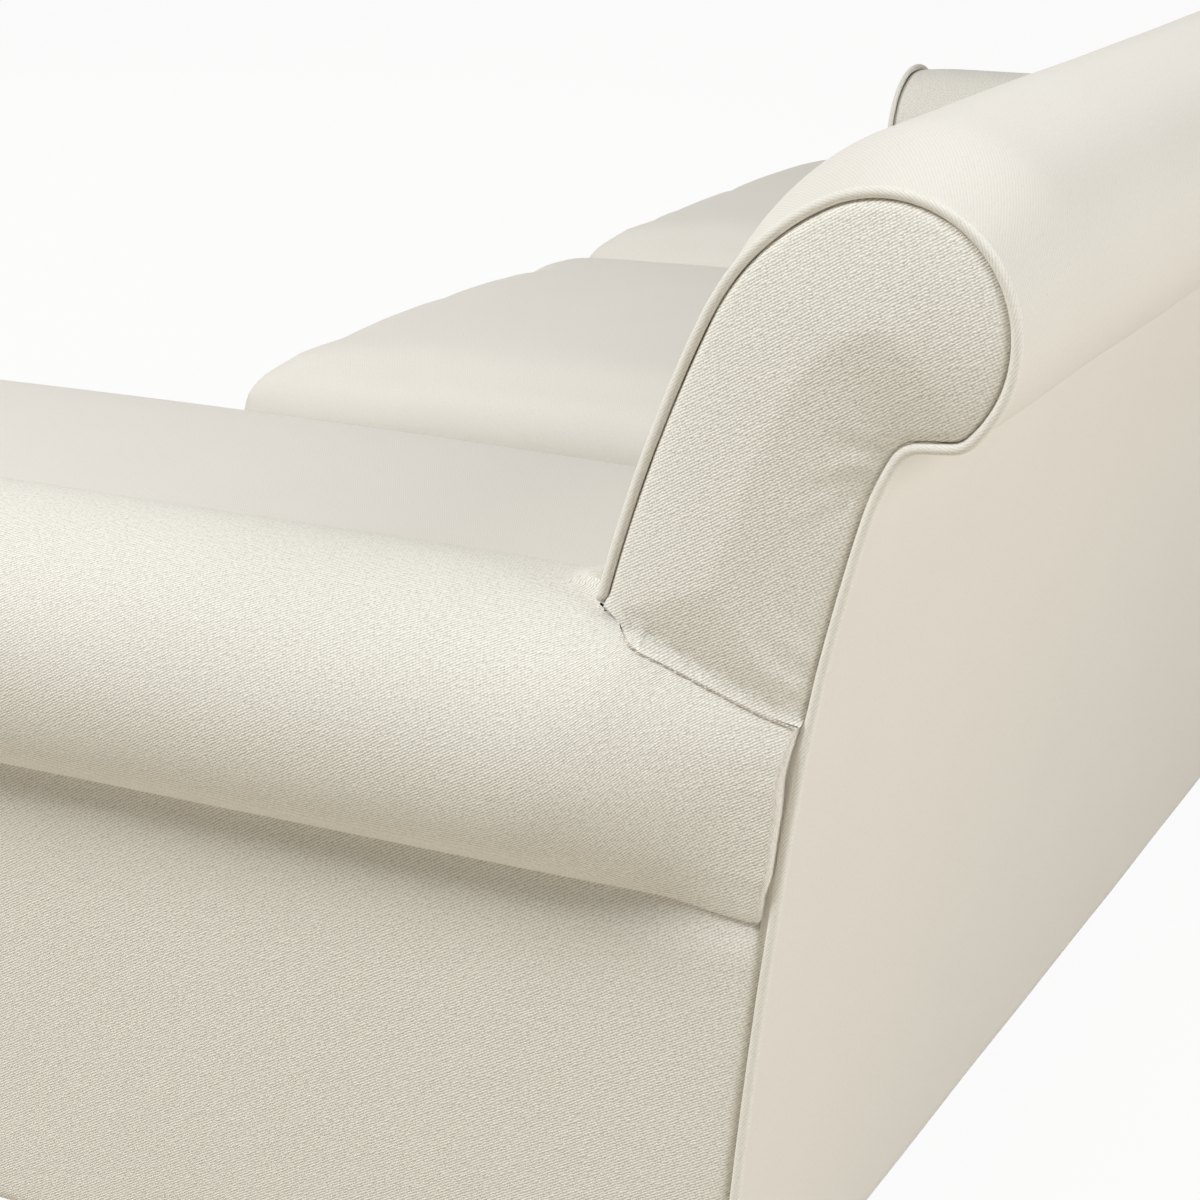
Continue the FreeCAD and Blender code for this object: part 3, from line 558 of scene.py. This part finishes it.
def filled(outline, spacing, rings=(0.0012, 0.003, 0.006)):
    """Points and faces that fill an outline, closer together near its edge."""
    low, high = outline.min(0), outline.max(0)
    rows = np.arange(low[1], high[1], spacing * 0.866)
    inner = []
    for row, v in enumerate(rows):
        columns = np.arange(low[0] + (row % 2) * spacing / 2, high[0], spacing)
        inner.append(np.stack([columns, np.full(len(columns), v)], 1))
    inner = np.concatenate(inner)
    inner = inner[inside(inner, outline)]
    inner = inner[distance(inner, outline) > rings[-1] + spacing * 0.4]
    ahead = np.roll(outline, -1, axis=0) - np.roll(outline, 1, axis=0)
    square = np.stack([-ahead[:, 1], ahead[:, 0]], 1) / np.linalg.norm(ahead, axis=1)[:, None]
    turned = 1 if inside((outline + square * 1e-4)[:40], outline).mean() > 0.5 else -1
    edges = []
    for ring in rings:
        ring_points = outline + square * ring * turned
        keep = inside(ring_points, outline) & (distance(ring_points, outline) > ring * 0.85)
        edges.append(ring_points[keep])
    every = np.concatenate([outline] + edges + [inner])
    count = len(outline)
    loop = [(index, (index + 1) % count) for index in range(count)]
    made = geometry.delaunay_2d_cdt([Vector(point) for point in every], loop, [list(range(count))], 1, 1e-7)
    return np.array([tuple(point) for point in made[0]]), [list(face) for face in made[2]]


def fold(points, start, end, width, depth):
    """A shallow fold along a line that dies out towards its end."""
    start, way = np.array(start), np.array(end) - np.array(start)
    along = ((points - start) @ way) / (way @ way)
    off = (points - start) @ np.array([-way[1], way[0]]) / np.linalg.norm(way)
    fade = np.where((along > -0.1) & (along < 1), smooth((along + 0.1) / 0.2) * (1 - smooth(along)), 0)
    return depth * fade * np.exp(-((off / (width * (0.6 + np.clip(along, 0, 1)))) ** 2))


def scroll_line(low, step=0.004):
    """Outline of the back's end, from the arm seam over the roll and down to a height."""
    line = walk(back_start, back_lean, front_runs + roll_runs + tuck_runs + neck_runs + rear_runs, step)
    keep = line[0][:, 1] >= low
    keep[: len(keep) // 2] = True
    return line[0][keep], line[1][keep], line[2][keep]


def points_at(line, places):
    """Points at given lengths along a line in a plane."""
    lengths = path_lengths(line)
    return np.stack([np.interp(places, lengths, line[:, axis]) for axis in range(2)], 1)


seam_places = np.linspace(-0.003, path_lengths(arm_seam)[-1] + 0.001, 90)
seam_line = points_at(arm_seam, seam_places)
for _ in range(12):
    seam_line[1:-1] = (seam_line[:-2] + 2 * seam_line[1:-1] + seam_line[2:]) / 4
seam_ahead = np.gradient(seam_line, axis=0)
seam_up = np.stack([-seam_ahead[:, 1], seam_ahead[:, 0]], 1)
seam_up /= np.linalg.norm(seam_ahead, axis=1)[:, None] + 1e-9
# Columns of arm_section: the middle of the roll's outer quarter, and how many that quarter has.
upper_outer, outer_count = 43, 22
seam_stand = []
for y, z in seam_line:
    row = arm_shape[np.argmin(np.abs(arm_shape[:, upper_outer, 1] - y))]
    outer = row[np.argmax(row[:, 2]):][:outer_count]
    seam_stand.append(max(0.0, -np.interp(0.0008 - z, -outer[:, 2], outer[:, 0])))
seam_stand = (np.array(seam_stand) + 0.0008) * smooth((seam_places - 0.002) / 0.02)


def scroll_panel(hand, side):
    """End of the back above the arm, with its folds and the hem along the arm seam."""
    around = scroll_line(arm_seam[-1, 1])[0]
    outline = np.concatenate([around, arm_seam[::-1][1:-1] + (0, 0.0008)])
    flat, faces = filled(outline, 0.0045)
    rim = distance(flat, around, closed=False)
    hem = distance(flat, arm_seam, closed=False)
    dome, drawn_in, lap = 0.0220, 0.0030, 0.0065
    lift = dome * (1 - np.exp(-np.minimum(rim, hem + 0.004) / 0.052))
    lift -= drawn_in * np.exp(-((rim / 0.0020) ** 2))
    lapped = 1 - smooth(hem / lap)
    lift = lift * (1 - lapped) + (0.0019 + np.interp(flat[:, 0], seam_line[:, 0], seam_stand)) * lapped
    lift -= 0.0006 * np.exp(-(((hem - 0.0062) / 0.0012) ** 2))
    for start, end, width, depth in (((0.083, 0.728), (0.040, 0.708), 0.005, -0.0022),
                                     ((0.080, 0.720), (0.035, 0.680), 0.005, -0.0018),
                                     ((0.090, 0.738), (0.050, 0.750), 0.006, -0.0014),
                                     ((0.047, 0.588), (-0.005, 0.618), 0.008, -0.0012),
                                     ((0.050, 0.606), (0.004, 0.652), 0.009, -0.0010),
                                     ((0.052, 0.630), (0.020, 0.672), 0.008, -0.0006)):
        above_start, above_end = np.array(start) + (0, 0.010), np.array(end) + (0.003, 0.012)
        lift += fold(flat, start, end, width, depth) - fold(flat, above_start, above_end, width, depth * 0.5)
    points = np.stack([side * (half_width - 0.0015 + lift), flat[:, 0] + back_y, flat[:, 1]], 1)
    points[:, 0] += side * 0.0007 * ripple(points, 0.05, 8) * smooth(rim / 0.02)
    return piece_of(hand + "_scroll_panel", points, faces, points[:, 1:], near_linen, (side, 0, 0))


def seam_hem(hand, side):
    """Folded lower edge of a scroll end, turned under where it laps over the arm."""
    profile = [(0.0010, 1.0), (-0.0004, 1.0), (-0.0010, 0.86), (-0.0008, 0.5), (0.0006, 0.0)]
    points, weave = [], []
    for rise, share in profile:
        edge = seam_line + seam_up * rise
        out = half_width + 0.0004 + seam_stand * share
        points.append(np.column_stack([side * out, edge[:, 0] + back_y, edge[:, 1]]))
        weave.append(np.column_stack([edge[:, 0], edge[:, 1] - (1 - share) * 0.003]))
    return piece_of(hand + "_seam_hem", np.concatenate(points), grid_faces(len(profile), len(seam_line)),
                    np.concatenate(weave), near_linen, (side, 0, 0))


def arm_face(hand, side):
    """Front of an arm, inside its welt."""
    section = arm_section(arm_radius, arm_radius)[:-2]
    girth = path_lengths(section)[-1]
    arch = points_at(section, np.linspace(0, girth, int(girth / 0.005)))
    down = np.stack([np.full(31, crease_inset), np.linspace(crease_z, deck_z, 32)[1:]], 1)
    sill = np.stack([np.linspace(crease_inset, arm_width, 26)[1:-1], np.full(24, deck_z)], 1)
    outline = np.concatenate([arch, down, sill])
    flat, faces = filled(outline, 0.006)
    rim = distance(flat, outline)
    dome, drawn_in = 0.006, 0.0055
    lift = dome * (1 - np.exp(-rim / 0.02)) - drawn_in * np.exp(-((rim / 0.003) ** 2))
    points = np.stack([side * (half_width - flat[:, 0]), arm_front + back_y - lift, flat[:, 1]], 1)
    weave = np.stack([points[:, 0], points[:, 2]], 1)
    return piece_of(hand + "_arm_face", points, faces, weave, near_linen, (0, -1, 0))


for hand, side in sides:
    fit(arm_face(hand, side), "sofa", "cover_fabric", hand + "_arm_front_panel")
    fit(scroll_panel(hand, side), "sofa", "cover_fabric", hand + "_back_end_panel")
    fit(seam_hem(hand, side), "sofa", "cover_fabric")


# Tight back: padding over webbing, with one piece of linen pulled up the front, over the roll
# and into the crease behind it. It is drawn in to the welt at each end, with small puckers there.
lean_slope = math.tan(math.radians(back_lean))


def end_stations(width, end_zone, end_count, step):
    """Places across the back, closer together near its two ends."""
    ends = np.concatenate([np.linspace(0.0035, 0.012, 7)[:-1], np.linspace(0.012, end_zone, end_count)[:-1]])
    middle = np.linspace(end_zone, width - end_zone, int((width - 2 * end_zone) / step))
    return np.concatenate([ends, middle, (width - ends)[::-1]])


def tight_back(width):
    """Inside back and roll."""
    foot = (back_start[0] + (deck_z - arm_top) * lean_slope, deck_z)
    rise = math.hypot(back_start[0] - foot[0], back_start[1] - foot[1])
    outline, away, lengths = walk(foot, back_lean, [(rise, 0.0)] + front_runs + roll_runs + tuck_runs, 0.006)
    inward, run = np.meshgrid(end_stations(width, 0.10, 32, 0.016), lengths, indexing="ij")
    from_end = np.minimum(inward, width - inward)
    end_lip, belly_depth, pucker_depth = 0.0045, 0.012, 0.0009
    full = 0.016 + 0.012 * (0.91 * away[:, 1] - 0.41 * away[:, 0])
    crown = end_lip * (1 - np.exp(-(from_end - 0.0035) / 0.0030))
    crown = crown + (full - end_lip) * smooth(from_end / 0.10) ** 0.8
    tail = smooth((lengths[-1] - run) / 0.035)
    high = np.interp(run, lengths, outline[:, 1])
    belly = belly_depth * smooth((high - 0.50) / 0.05) * smooth((0.84 - high) / 0.16)
    belly = belly * smooth(from_end / 0.14) * smooth(-away[:, 0] / 0.5)
    pucker = np.sin(run / 0.0021 + 2.5 * np.sin(run / 0.013)) * np.exp(-from_end / 0.013)
    pucker = pucker * smooth((from_end - 0.007) / 0.006)
    over = smooth((high - 0.78) / 0.05)
    out = crown * tail + belly + pucker_depth * pucker * over * tail
    points = np.zeros((*run.shape, 3))
    points[:, :, 0] = half_width - inward
    points[:, :, 1] = back_y + outline[:, 0] + out * away[:, 0]
    points[:, :, 2] = outline[:, 1] + out * away[:, 1]
    waves = ripple(points, 0.17, 11).reshape(run.shape) * smooth(from_end / 0.05) * tail
    points[:, :, 1:] += 0.0013 * waves[:, :, None] * away
    weave = np.stack([points[:, :, 0], run], 2)
    return piece_of("tight_back", points.reshape(-1, 3), grid_faces(*run.shape), weave.reshape(-1, 2),
                    soft_linen, (0, -1, 1))


padding = tight_back(full_width)
fit(padding, "sofa", "cover_fabric", "inside_back")


# Outside back: linen over card, blind-tacked in the crease under the roll and pulled down to the base.
# It is drawn in at each end where it is sewn to the welt.
def outside_back(width):
    """Rear of the sofa, with gathers at the top corners by the welts."""
    outline, away, lengths = walk(crease, crease_heading, neck_runs + rear_runs, 0.004)
    keep = outline[:, 1] >= base_z - 0.002
    outline, away, lengths = outline[keep], away[keep], lengths[keep]
    inward, run = np.meshgrid(end_stations(width, 0.07, 16, 0.022), lengths, indexing="ij")
    from_end = np.minimum(inward, width - inward)
    out = 0.002 * smooth(from_end / 0.06) - 0.0040 * np.exp(-(((from_end - 0.0035) / 0.0035) ** 2))
    gather = np.sin(inward / 0.0019) * np.exp(-run / 0.018) * np.exp(-from_end / 0.03)
    gather = gather * smooth(from_end / 0.008)
    hollow = np.exp(-(((run - 0.024) / 0.022) ** 2)) * np.exp(-(((from_end - 0.016) / 0.024) ** 2))
    hollow = hollow * smooth((from_end - 0.0035) / 0.007) * smooth(run / 0.010)
    gather_depth, hollow_depth = 0.0016, 0.016
    out = out * smooth(run / 0.02) + gather_depth * gather - hollow_depth * hollow
    points = np.zeros((*run.shape, 3))
    points[:, :, 0] = half_width - inward
    points[:, :, 1] = back_y + outline[:, 0] + out * away[:, 0]
    points[:, :, 2] = outline[:, 1] + out * away[:, 1]
    waves = ripple(points, 0.2, 17).reshape(run.shape) * smooth(from_end / 0.06)
    points[:, :, 1] += 0.0012 * waves * smooth(run / 0.08)
    turned_in = np.clip((base_z + 0.008 - points[:, :, 2]) / 0.010, 0, 1)
    points[:, :, 1] -= 0.007 * (1 - np.sqrt(1 - turned_in ** 2))
    weave = np.stack([-points[:, :, 0], -run], 2)
    return piece_of("rear_cover", points.reshape(-1, 3), grid_faces(*run.shape), weave.reshape(-1, 2),
                    soft_linen, (0, 1, 0))


fit(outside_back(full_width), "sofa", "cover_fabric", "outside_back")


# Welts: bias-cut linen sewn round a cord. One runs round each scroll end and on down the rear corner,
# and one round each arm front.
welt_linen = linen("linen_bias_welt", 0.35, (0.86, 0.826, 0.752))
welt_radius, welt_sides = 0.0033, 12
welt_out, welt_inset = 0.0036, 0.004
arch_points = 150


def tube_faces(rings, around):
    """Four-sided faces between closed rings of points."""
    faces = []
    for first in range(0, (rings - 1) * around, around):
        for turn in range(around):
            after = (turn + 1) % around
            faces.append([first + turn, first + after, first + around + after, first + around + turn])
    return faces


def face_outward(piece):
    """Turns the faces of a closed piece to look out of it."""
    shape = bmesh.new()
    shape.from_mesh(piece.data)
    bmesh.ops.recalc_face_normals(shape, faces=shape.faces)
    shape.to_mesh(piece.data)
    shape.free()
    return piece


def welt(name, centres, square, lengths, across):
    """A sewn cord along a line, a little uneven, with a flat cut at each end."""
    across = np.array(across)
    turns = np.linspace(0, 2 * math.pi, welt_sides + 1)[:-1]
    stray = ripple(centres, 0.035, 23)
    centres = centres + square * 0.00035 * stray[:, None] + across * 0.0003 * np.roll(stray, 40)[:, None]
    rings = np.array([centres + welt_radius * (math.cos(turn) * square + math.sin(turn) * across)
                      for turn in turns]).transpose(1, 0, 2)
    count = len(centres)
    faces = tube_faces(count, welt_sides)
    faces += [list(range(welt_sides)), list(range((count - 1) * welt_sides, count * welt_sides))]
    girth = np.abs(((turns + math.pi) % (2 * math.pi)) - math.pi) * welt_radius
    wide = (count, welt_sides)
    weave = np.stack([np.broadcast_to(lengths[:, None], wide), np.broadcast_to(girth, wide)], 2)
    return face_outward(piece_of(name, rings.reshape(-1, 3), faces, weave.reshape(-1, 2), welt_linen))


for hand, side in sides:
    line, away, lengths = scroll_line(base_z, 0.004)
    line = line + away * welt_out
    out = np.full(len(line), side * (half_width - welt_inset))
    centres = np.stack([out, line[:, 0] + back_y, line[:, 1]], 1)
    square = np.stack([np.zeros(len(line)), away[:, 0], away[:, 1]], 1)
    scroll = welt(hand + "_scroll_welt", centres, square, lengths, (side, 0, 0))
    fit(scroll, "sofa", "welt_fabric", hand + "_welts")
    section = arm_section(arm_radius, arm_radius)[:-2]
    places = np.linspace(0, path_lengths(section)[-1], arch_points)
    arch = points_at(section, places)
    ahead = np.gradient(arch, axis=0)
    square = np.stack([ahead[:, 1], -ahead[:, 0]], 1) / np.linalg.norm(ahead, axis=1)[:, None]
    arch = arch + square * welt_out
    face_y = np.full(arch_points, arm_front + welt_inset + back_y)
    centres = np.stack([side * (half_width - arch[:, 0]), face_y, arch[:, 1]], 1)
    square = np.stack([-side * square[:, 0], np.zeros(arch_points), square[:, 1]], 1)
    arm_welt = welt(hand + "_arm_welt", centres, square, places, (0, 1, 0))
    fit(arm_welt, "sofa", "welt_fabric")


# Loose seat cushions: a foam core in fibre wrap, inside a sewn linen cover with plain seams.
# The chaise and end cushions pass in front of the arms, and the covers are slack enough to swell.
def soft_outline(corners, radii):
    """A square-cornered outline with rounded corners, in steps of about 12 mm."""
    corners = np.array(corners)
    line = []
    for index, corner in enumerate(corners):
        into = corner - corners[index - 1]
        out = corners[(index + 1) % len(corners)] - corner
        into, out = into / np.linalg.norm(into), out / np.linalg.norm(out)
        radius = radii[index]
        start, end = corner - into * radius, corner + out * radius
        for share in np.linspace(0, 1, 7):
            line.append((1 - share) ** 2 * start + 2 * share * (1 - share) * corner + share ** 2 * end)
    closed = np.array(line + line[:1])
    girth = path_lengths(closed)[-1]
    return points_at(closed, np.linspace(0, girth, int(girth / 0.012))[:-1])


def inset_line(line, inset):
    """A closed outline drawn in by a distance."""
    ahead = np.roll(line, -1, axis=0) - np.roll(line, 1, axis=0)
    square = np.stack([-ahead[:, 1], ahead[:, 0]], 1) / np.linalg.norm(ahead, axis=1)[:, None]
    return line + square * inset


def slack_cushion(name, corners, radii, height, lean_edge, limits):
    """A cushion in its CAD place: sewn with a low crown first, then blown up as cloth."""
    line = soft_outline(corners, radii)
    levels = [(0.0, 0.020), (0.012, 0.010), (0.05, 0.004), (0.09, 0.003), (0.13, 0.004),
              (height - 0.025, 0.009), (height - 0.008, 0.018), (height, 0.030)]
    low, high = line.min(0), line.max(0)
    count = len(line)

    def crown(places):
        """Rise of the top towards the middle of the cushion."""
        share = 2 * (places - low) / (high - low) - 1
        return 0.018 * (1 - share[:, 0] ** 2) + 0.010 * (1 - share[:, 1] ** 2) + 0.006 * share[:, 0]

    points = []
    for rise, inset in levels:
        ring = inset_line(line, inset)
        ring[:, 1] += lean_slope * rise * smooth((line[:, 1] - lean_edge + 0.30) / 0.30)
        points.append(np.column_stack([ring, deck_z + rise + crown(ring) * (rise / levels[-1][0]) ** 2]))
    faces = tube_faces(len(levels), count)
    total = len(levels) * count
    for level, swell in ((len(levels) - 1, 1.0), (0, 0.0)):
        ring = points[level][:, :2]
        flat, cap = filled(ring, 0.02, rings=(0.008,))
        inner = flat[count:]
        rim = distance(inner, ring)
        top = deck_z + levels[level][0] + swell * (crown(inner) + 0.007 * (1 - np.exp(-rim / 0.05)))
        points.append(np.column_stack([inner, top]))
        on_ring, on_cap = level * count, total - count
        faces += [[corner + (on_ring if corner < count else on_cap) for corner in face] for face in cap]
        total += len(inner)
    piece = face_outward(piece_of(name, np.concatenate(points), faces, np.zeros((total, 2)), soft_linen))
    blow_up(piece, limits)
    box_weave(piece)
    softer = piece.modifiers.new("soft_cover", "SUBSURF")
    softer.levels = softer.render_levels = 1
    return piece


def blow_up(piece, limits):
    """Cloth under pressure, held in by the deck below and by the neighbours around it."""
    scene = bpy.context.scene
    bpy.context.view_layer.objects.active = piece
    remesh = piece.modifiers.new("even_mesh", "REMESH")
    remesh.mode = "VOXEL"
    remesh.voxel_size = 0.011
    bpy.ops.object.modifier_apply(modifier=remesh.name)
    mesh = piece.data
    rest = np.zeros(len(mesh.vertices) * 3)
    mesh.vertices.foreach_get("co", rest)
    rest = rest.reshape(-1, 3)
    held = piece.vertex_groups.new(name="on_deck")
    held.add([index for index, point in enumerate(rest) if point[2] < deck_z + 0.008], 1.0, "REPLACE")
    cloth = piece.modifiers.new("cover", "CLOTH")
    cloth.settings.use_pressure = True
    cloth.settings.uniform_pressure_force = 4.0
    cloth.settings.effector_weights.gravity = 0.0
    cloth.settings.vertex_group_mass = held.name
    cloth.settings.quality = 5
    cloth.settings.tension_stiffness = cloth.settings.compression_stiffness = 12.0
    cloth.settings.bending_stiffness = 0.6
    cloth.collision_settings.use_collision = False
    last_frame = 20
    cloth.point_cache.frame_start, cloth.point_cache.frame_end = 1, last_frame
    for moment in range(1, last_frame + 1):
        scene.frame_set(moment)
    blown = piece.evaluated_get(bpy.context.evaluated_depsgraph_get()).to_mesh()
    after = np.zeros(len(blown.vertices) * 3)
    blown.vertices.foreach_get("co", after)
    after = after.reshape(-1, 3)
    piece.modifiers.remove(cloth)
    piece.vertex_groups.clear()
    most_swell = 0.012
    step = after - rest
    size = np.linalg.norm(step, axis=1)
    step *= (np.minimum(size, most_swell) / np.maximum(size, 1e-9))[:, None]
    mesh.vertices.foreach_set("co", limits(rest + step).ravel())
    mesh.polygons.foreach_set("use_smooth", np.ones(len(mesh.polygons), bool))
    mesh.update()
    wrap = piece.modifiers.new("fibre_wrap", "SMOOTH")
    wrap.factor, wrap.iterations = 0.5, 6
    bpy.ops.object.modifier_apply(modifier=wrap.name)
    scene.frame_set(1)


back_padding, back_room, arm_room, ear_inset, notch_room = 0.0135, 0.004, 0.010, 0.004, 0.012
cushion_rear = back_y + back_start[0] + (deck_z - arm_top) * lean_slope - back_padding - back_room
notch_y = arm_front - notch_room + back_y
bay = half_width - arm_width - arm_room
ear = half_width - ear_inset
for seat, side, height in (("chaise", 1, 0.187), ("middle", -1, 0.201), ("end", -1, 0.201)):
    low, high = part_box(seat + "_cushion_cover")
    if seat == "middle":
        corners = [(low.x, low.y), (high.x, low.y), (high.x, cushion_rear), (low.x, cushion_rear)]
        radii = [0.032] * 4
    else:
        inner_x = abs(low.x) if side > 0 else -high.x
        corners = [(inner_x, low.y), (ear, low.y), (ear, notch_y), (bay, notch_y), (bay, cushion_rear),
                   (inner_x, cushion_rear)]
        radii = [0.045, 0.045, 0.030, 0.012, 0.040, 0.040]
        if side < 0:
            corners = [(-x, y) for x, y in reversed(corners)]
            radii = radii[::-1]

    def limits(points, low=low, high=high, side=side, notched=seat != "middle"):
        """Keeps a cushion clear of the deck, the arms, the back and the next cushion."""
        give, side_give, front_give = 0.004, 0.001, 0.006
        kept = points.copy()
        kept[:, 0] = np.clip(kept[:, 0], low.x - side_give, high.x + side_give)
        back = cushion_rear + (kept[:, 2] - deck_z) * lean_slope + side_give
        kept[:, 1] = np.clip(kept[:, 1], low.y - front_give, back)
        kept[:, 2] = np.maximum(kept[:, 2], deck_z + 0.0005)
        if notched:
            to_side, to_front = side * kept[:, 0] - bay - give, kept[:, 1] - notch_y - give
            beside = (to_front > 0) & (to_side > 0)
            by_side = beside & (to_side < to_front)
            kept[by_side, 0] = side * (bay + give)
            kept[beside & ~by_side, 1] = notch_y + give
        return kept

    cushion = slack_cushion(seat + "_seat_cushion", corners, radii, height, cushion_rear, limits)
    fit(cushion, seat + "_cushion", "cover_fabric", seat + "_cushion_cover")


# Foam cores: blocks of cream polyurethane foam with fine open cells, cut to the cushions' outline.
# They lie inside the covers and keep their CAD solids.
foam, foam_shader, start = finish_of("cream_foam", Roughness=0.9)
place = start.node("ShaderNodeTexCoord", output=3)
cells = start.node("ShaderNodeTexVoronoi", values={"Vector": place, "Scale": 600.0})
cell_wall, cell_hollow = (0.78, 0.72, 0.52), (0.90, 0.86, 0.68)
start.plug(foam_shader.inputs["Base Color"], (cells * 1.2).limited().mixed(cell_wall, cell_hollow))
dress(foam, ("cushion_foam",))


# Studio: a pale floor that shows white to the camera, soft light from above and all round,
# and a long lens above the rear corner of the chaise's arm.
def direct_view(start):
    """1 for what the camera sees, also in a gloss or through glass, and 0 for light on the object."""
    camera_ray, glossy_ray, through_ray = [start.node("ShaderNodeLightPath", output=way) for way in (0, 3, 6)]
    return (camera_ray + glossy_ray + through_ray).limited()


floor_mesh = bpy.data.meshes.new("floor")
floor_mesh.from_pydata([(-14, -14, 0), (14, -14, 0), (14, 14, 0), (-14, 14, 0)], [], [(0, 1, 2, 3)])
floor = bpy.data.objects.new("floor", floor_mesh)
bpy.context.scene.collection.objects.link(floor)
paper, paper_shader, start = finish_of("white_floor", Base_Color=(0.70, 0.64, 0.54), Roughness=0.9)
glow = start.node("ShaderNodeEmission", values={"Color": (1.0, 1.0, 1.0), "Strength": 1.0})
diffuse = Value(start.tree, paper_shader.outputs[0])
blend = start.node("ShaderNodeMixShader", values={0: direct_view(start) * 0.95, 1: diffuse, 2: glow})
start.plug(start.tree.nodes["Material Output"].inputs["Surface"], blend)
floor_mesh.materials.append(paper)

world = bpy.data.worlds.new("studio")
bpy.context.scene.world = world
world.use_nodes = True
start = Value(world.node_tree)
fill = start.node("ShaderNodeBackground", values={"Color": (1.0, 0.99, 0.97), "Strength": 0.12})
white = start.node("ShaderNodeBackground", values={"Color": (1.0, 1.0, 1.0), "Strength": 1.0})
sky = start.node("ShaderNodeMixShader", values={0: direct_view(start), 1: fill, 2: white})
start.plug(world.node_tree.nodes["World Output"].inputs["Surface"], sky)


def lamp(name, place, aim, size, power, colour):
    """A large square soft light."""
    light = bpy.data.lights.new(name, "AREA")
    light.size = size
    light.energy = power
    light.color = colour
    holder = bpy.data.objects.new(name, light)
    holder.location = place
    holder.rotation_euler = (Vector(aim) - Vector(place)).to_track_quat("-Z", "Y").to_euler()
    bpy.context.scene.collection.objects.link(holder)


lamp("side_front", (3.6, -2.4, 4.8), (0.9, 0.0, 0.5), 2.0, 234.0, (0.96, 0.985, 1.0))
lamp("side", (3.8, 0.2, 5.2), (0.9, 0.0, 0.5), 2.0, 58.0, (0.96, 0.985, 1.0))
lamp("rear", (1.2, 5.2, 2.6), (0.4, 0.4, 0.5), 3.0, 166.0, (0.97, 0.985, 1.0))
lamp("seats", (-0.8, -0.8, 4.0), (-0.4, 0.0, 0.5), 4.0, 9.0, (1.0, 0.90, 0.80))
lamp("front", (-3.6, -4.2, 2.8), (0.0, -0.2, 0.4), 3.0, 50.0, (1.0, 0.99, 0.97))

lens = bpy.data.cameras.new("camera")
lens.lens = 83.67
lens.sensor_width = 36.0
camera = bpy.data.objects.new("camera", lens)
camera.location = (half_width + 1.345, back_y + 0.5914, 1.1255)
turned, down = math.radians(26.44), math.radians(18.1)
heading = Vector((-math.cos(turned) * math.cos(down), -math.sin(turned) * math.cos(down), -math.sin(down)))
camera.rotation_euler = heading.to_track_quat("-Z", "Y").to_euler()
bpy.context.scene.collection.objects.link(camera)
bpy.context.scene.camera = camera
bpy.context.scene.view_settings.view_transform = "Standard"
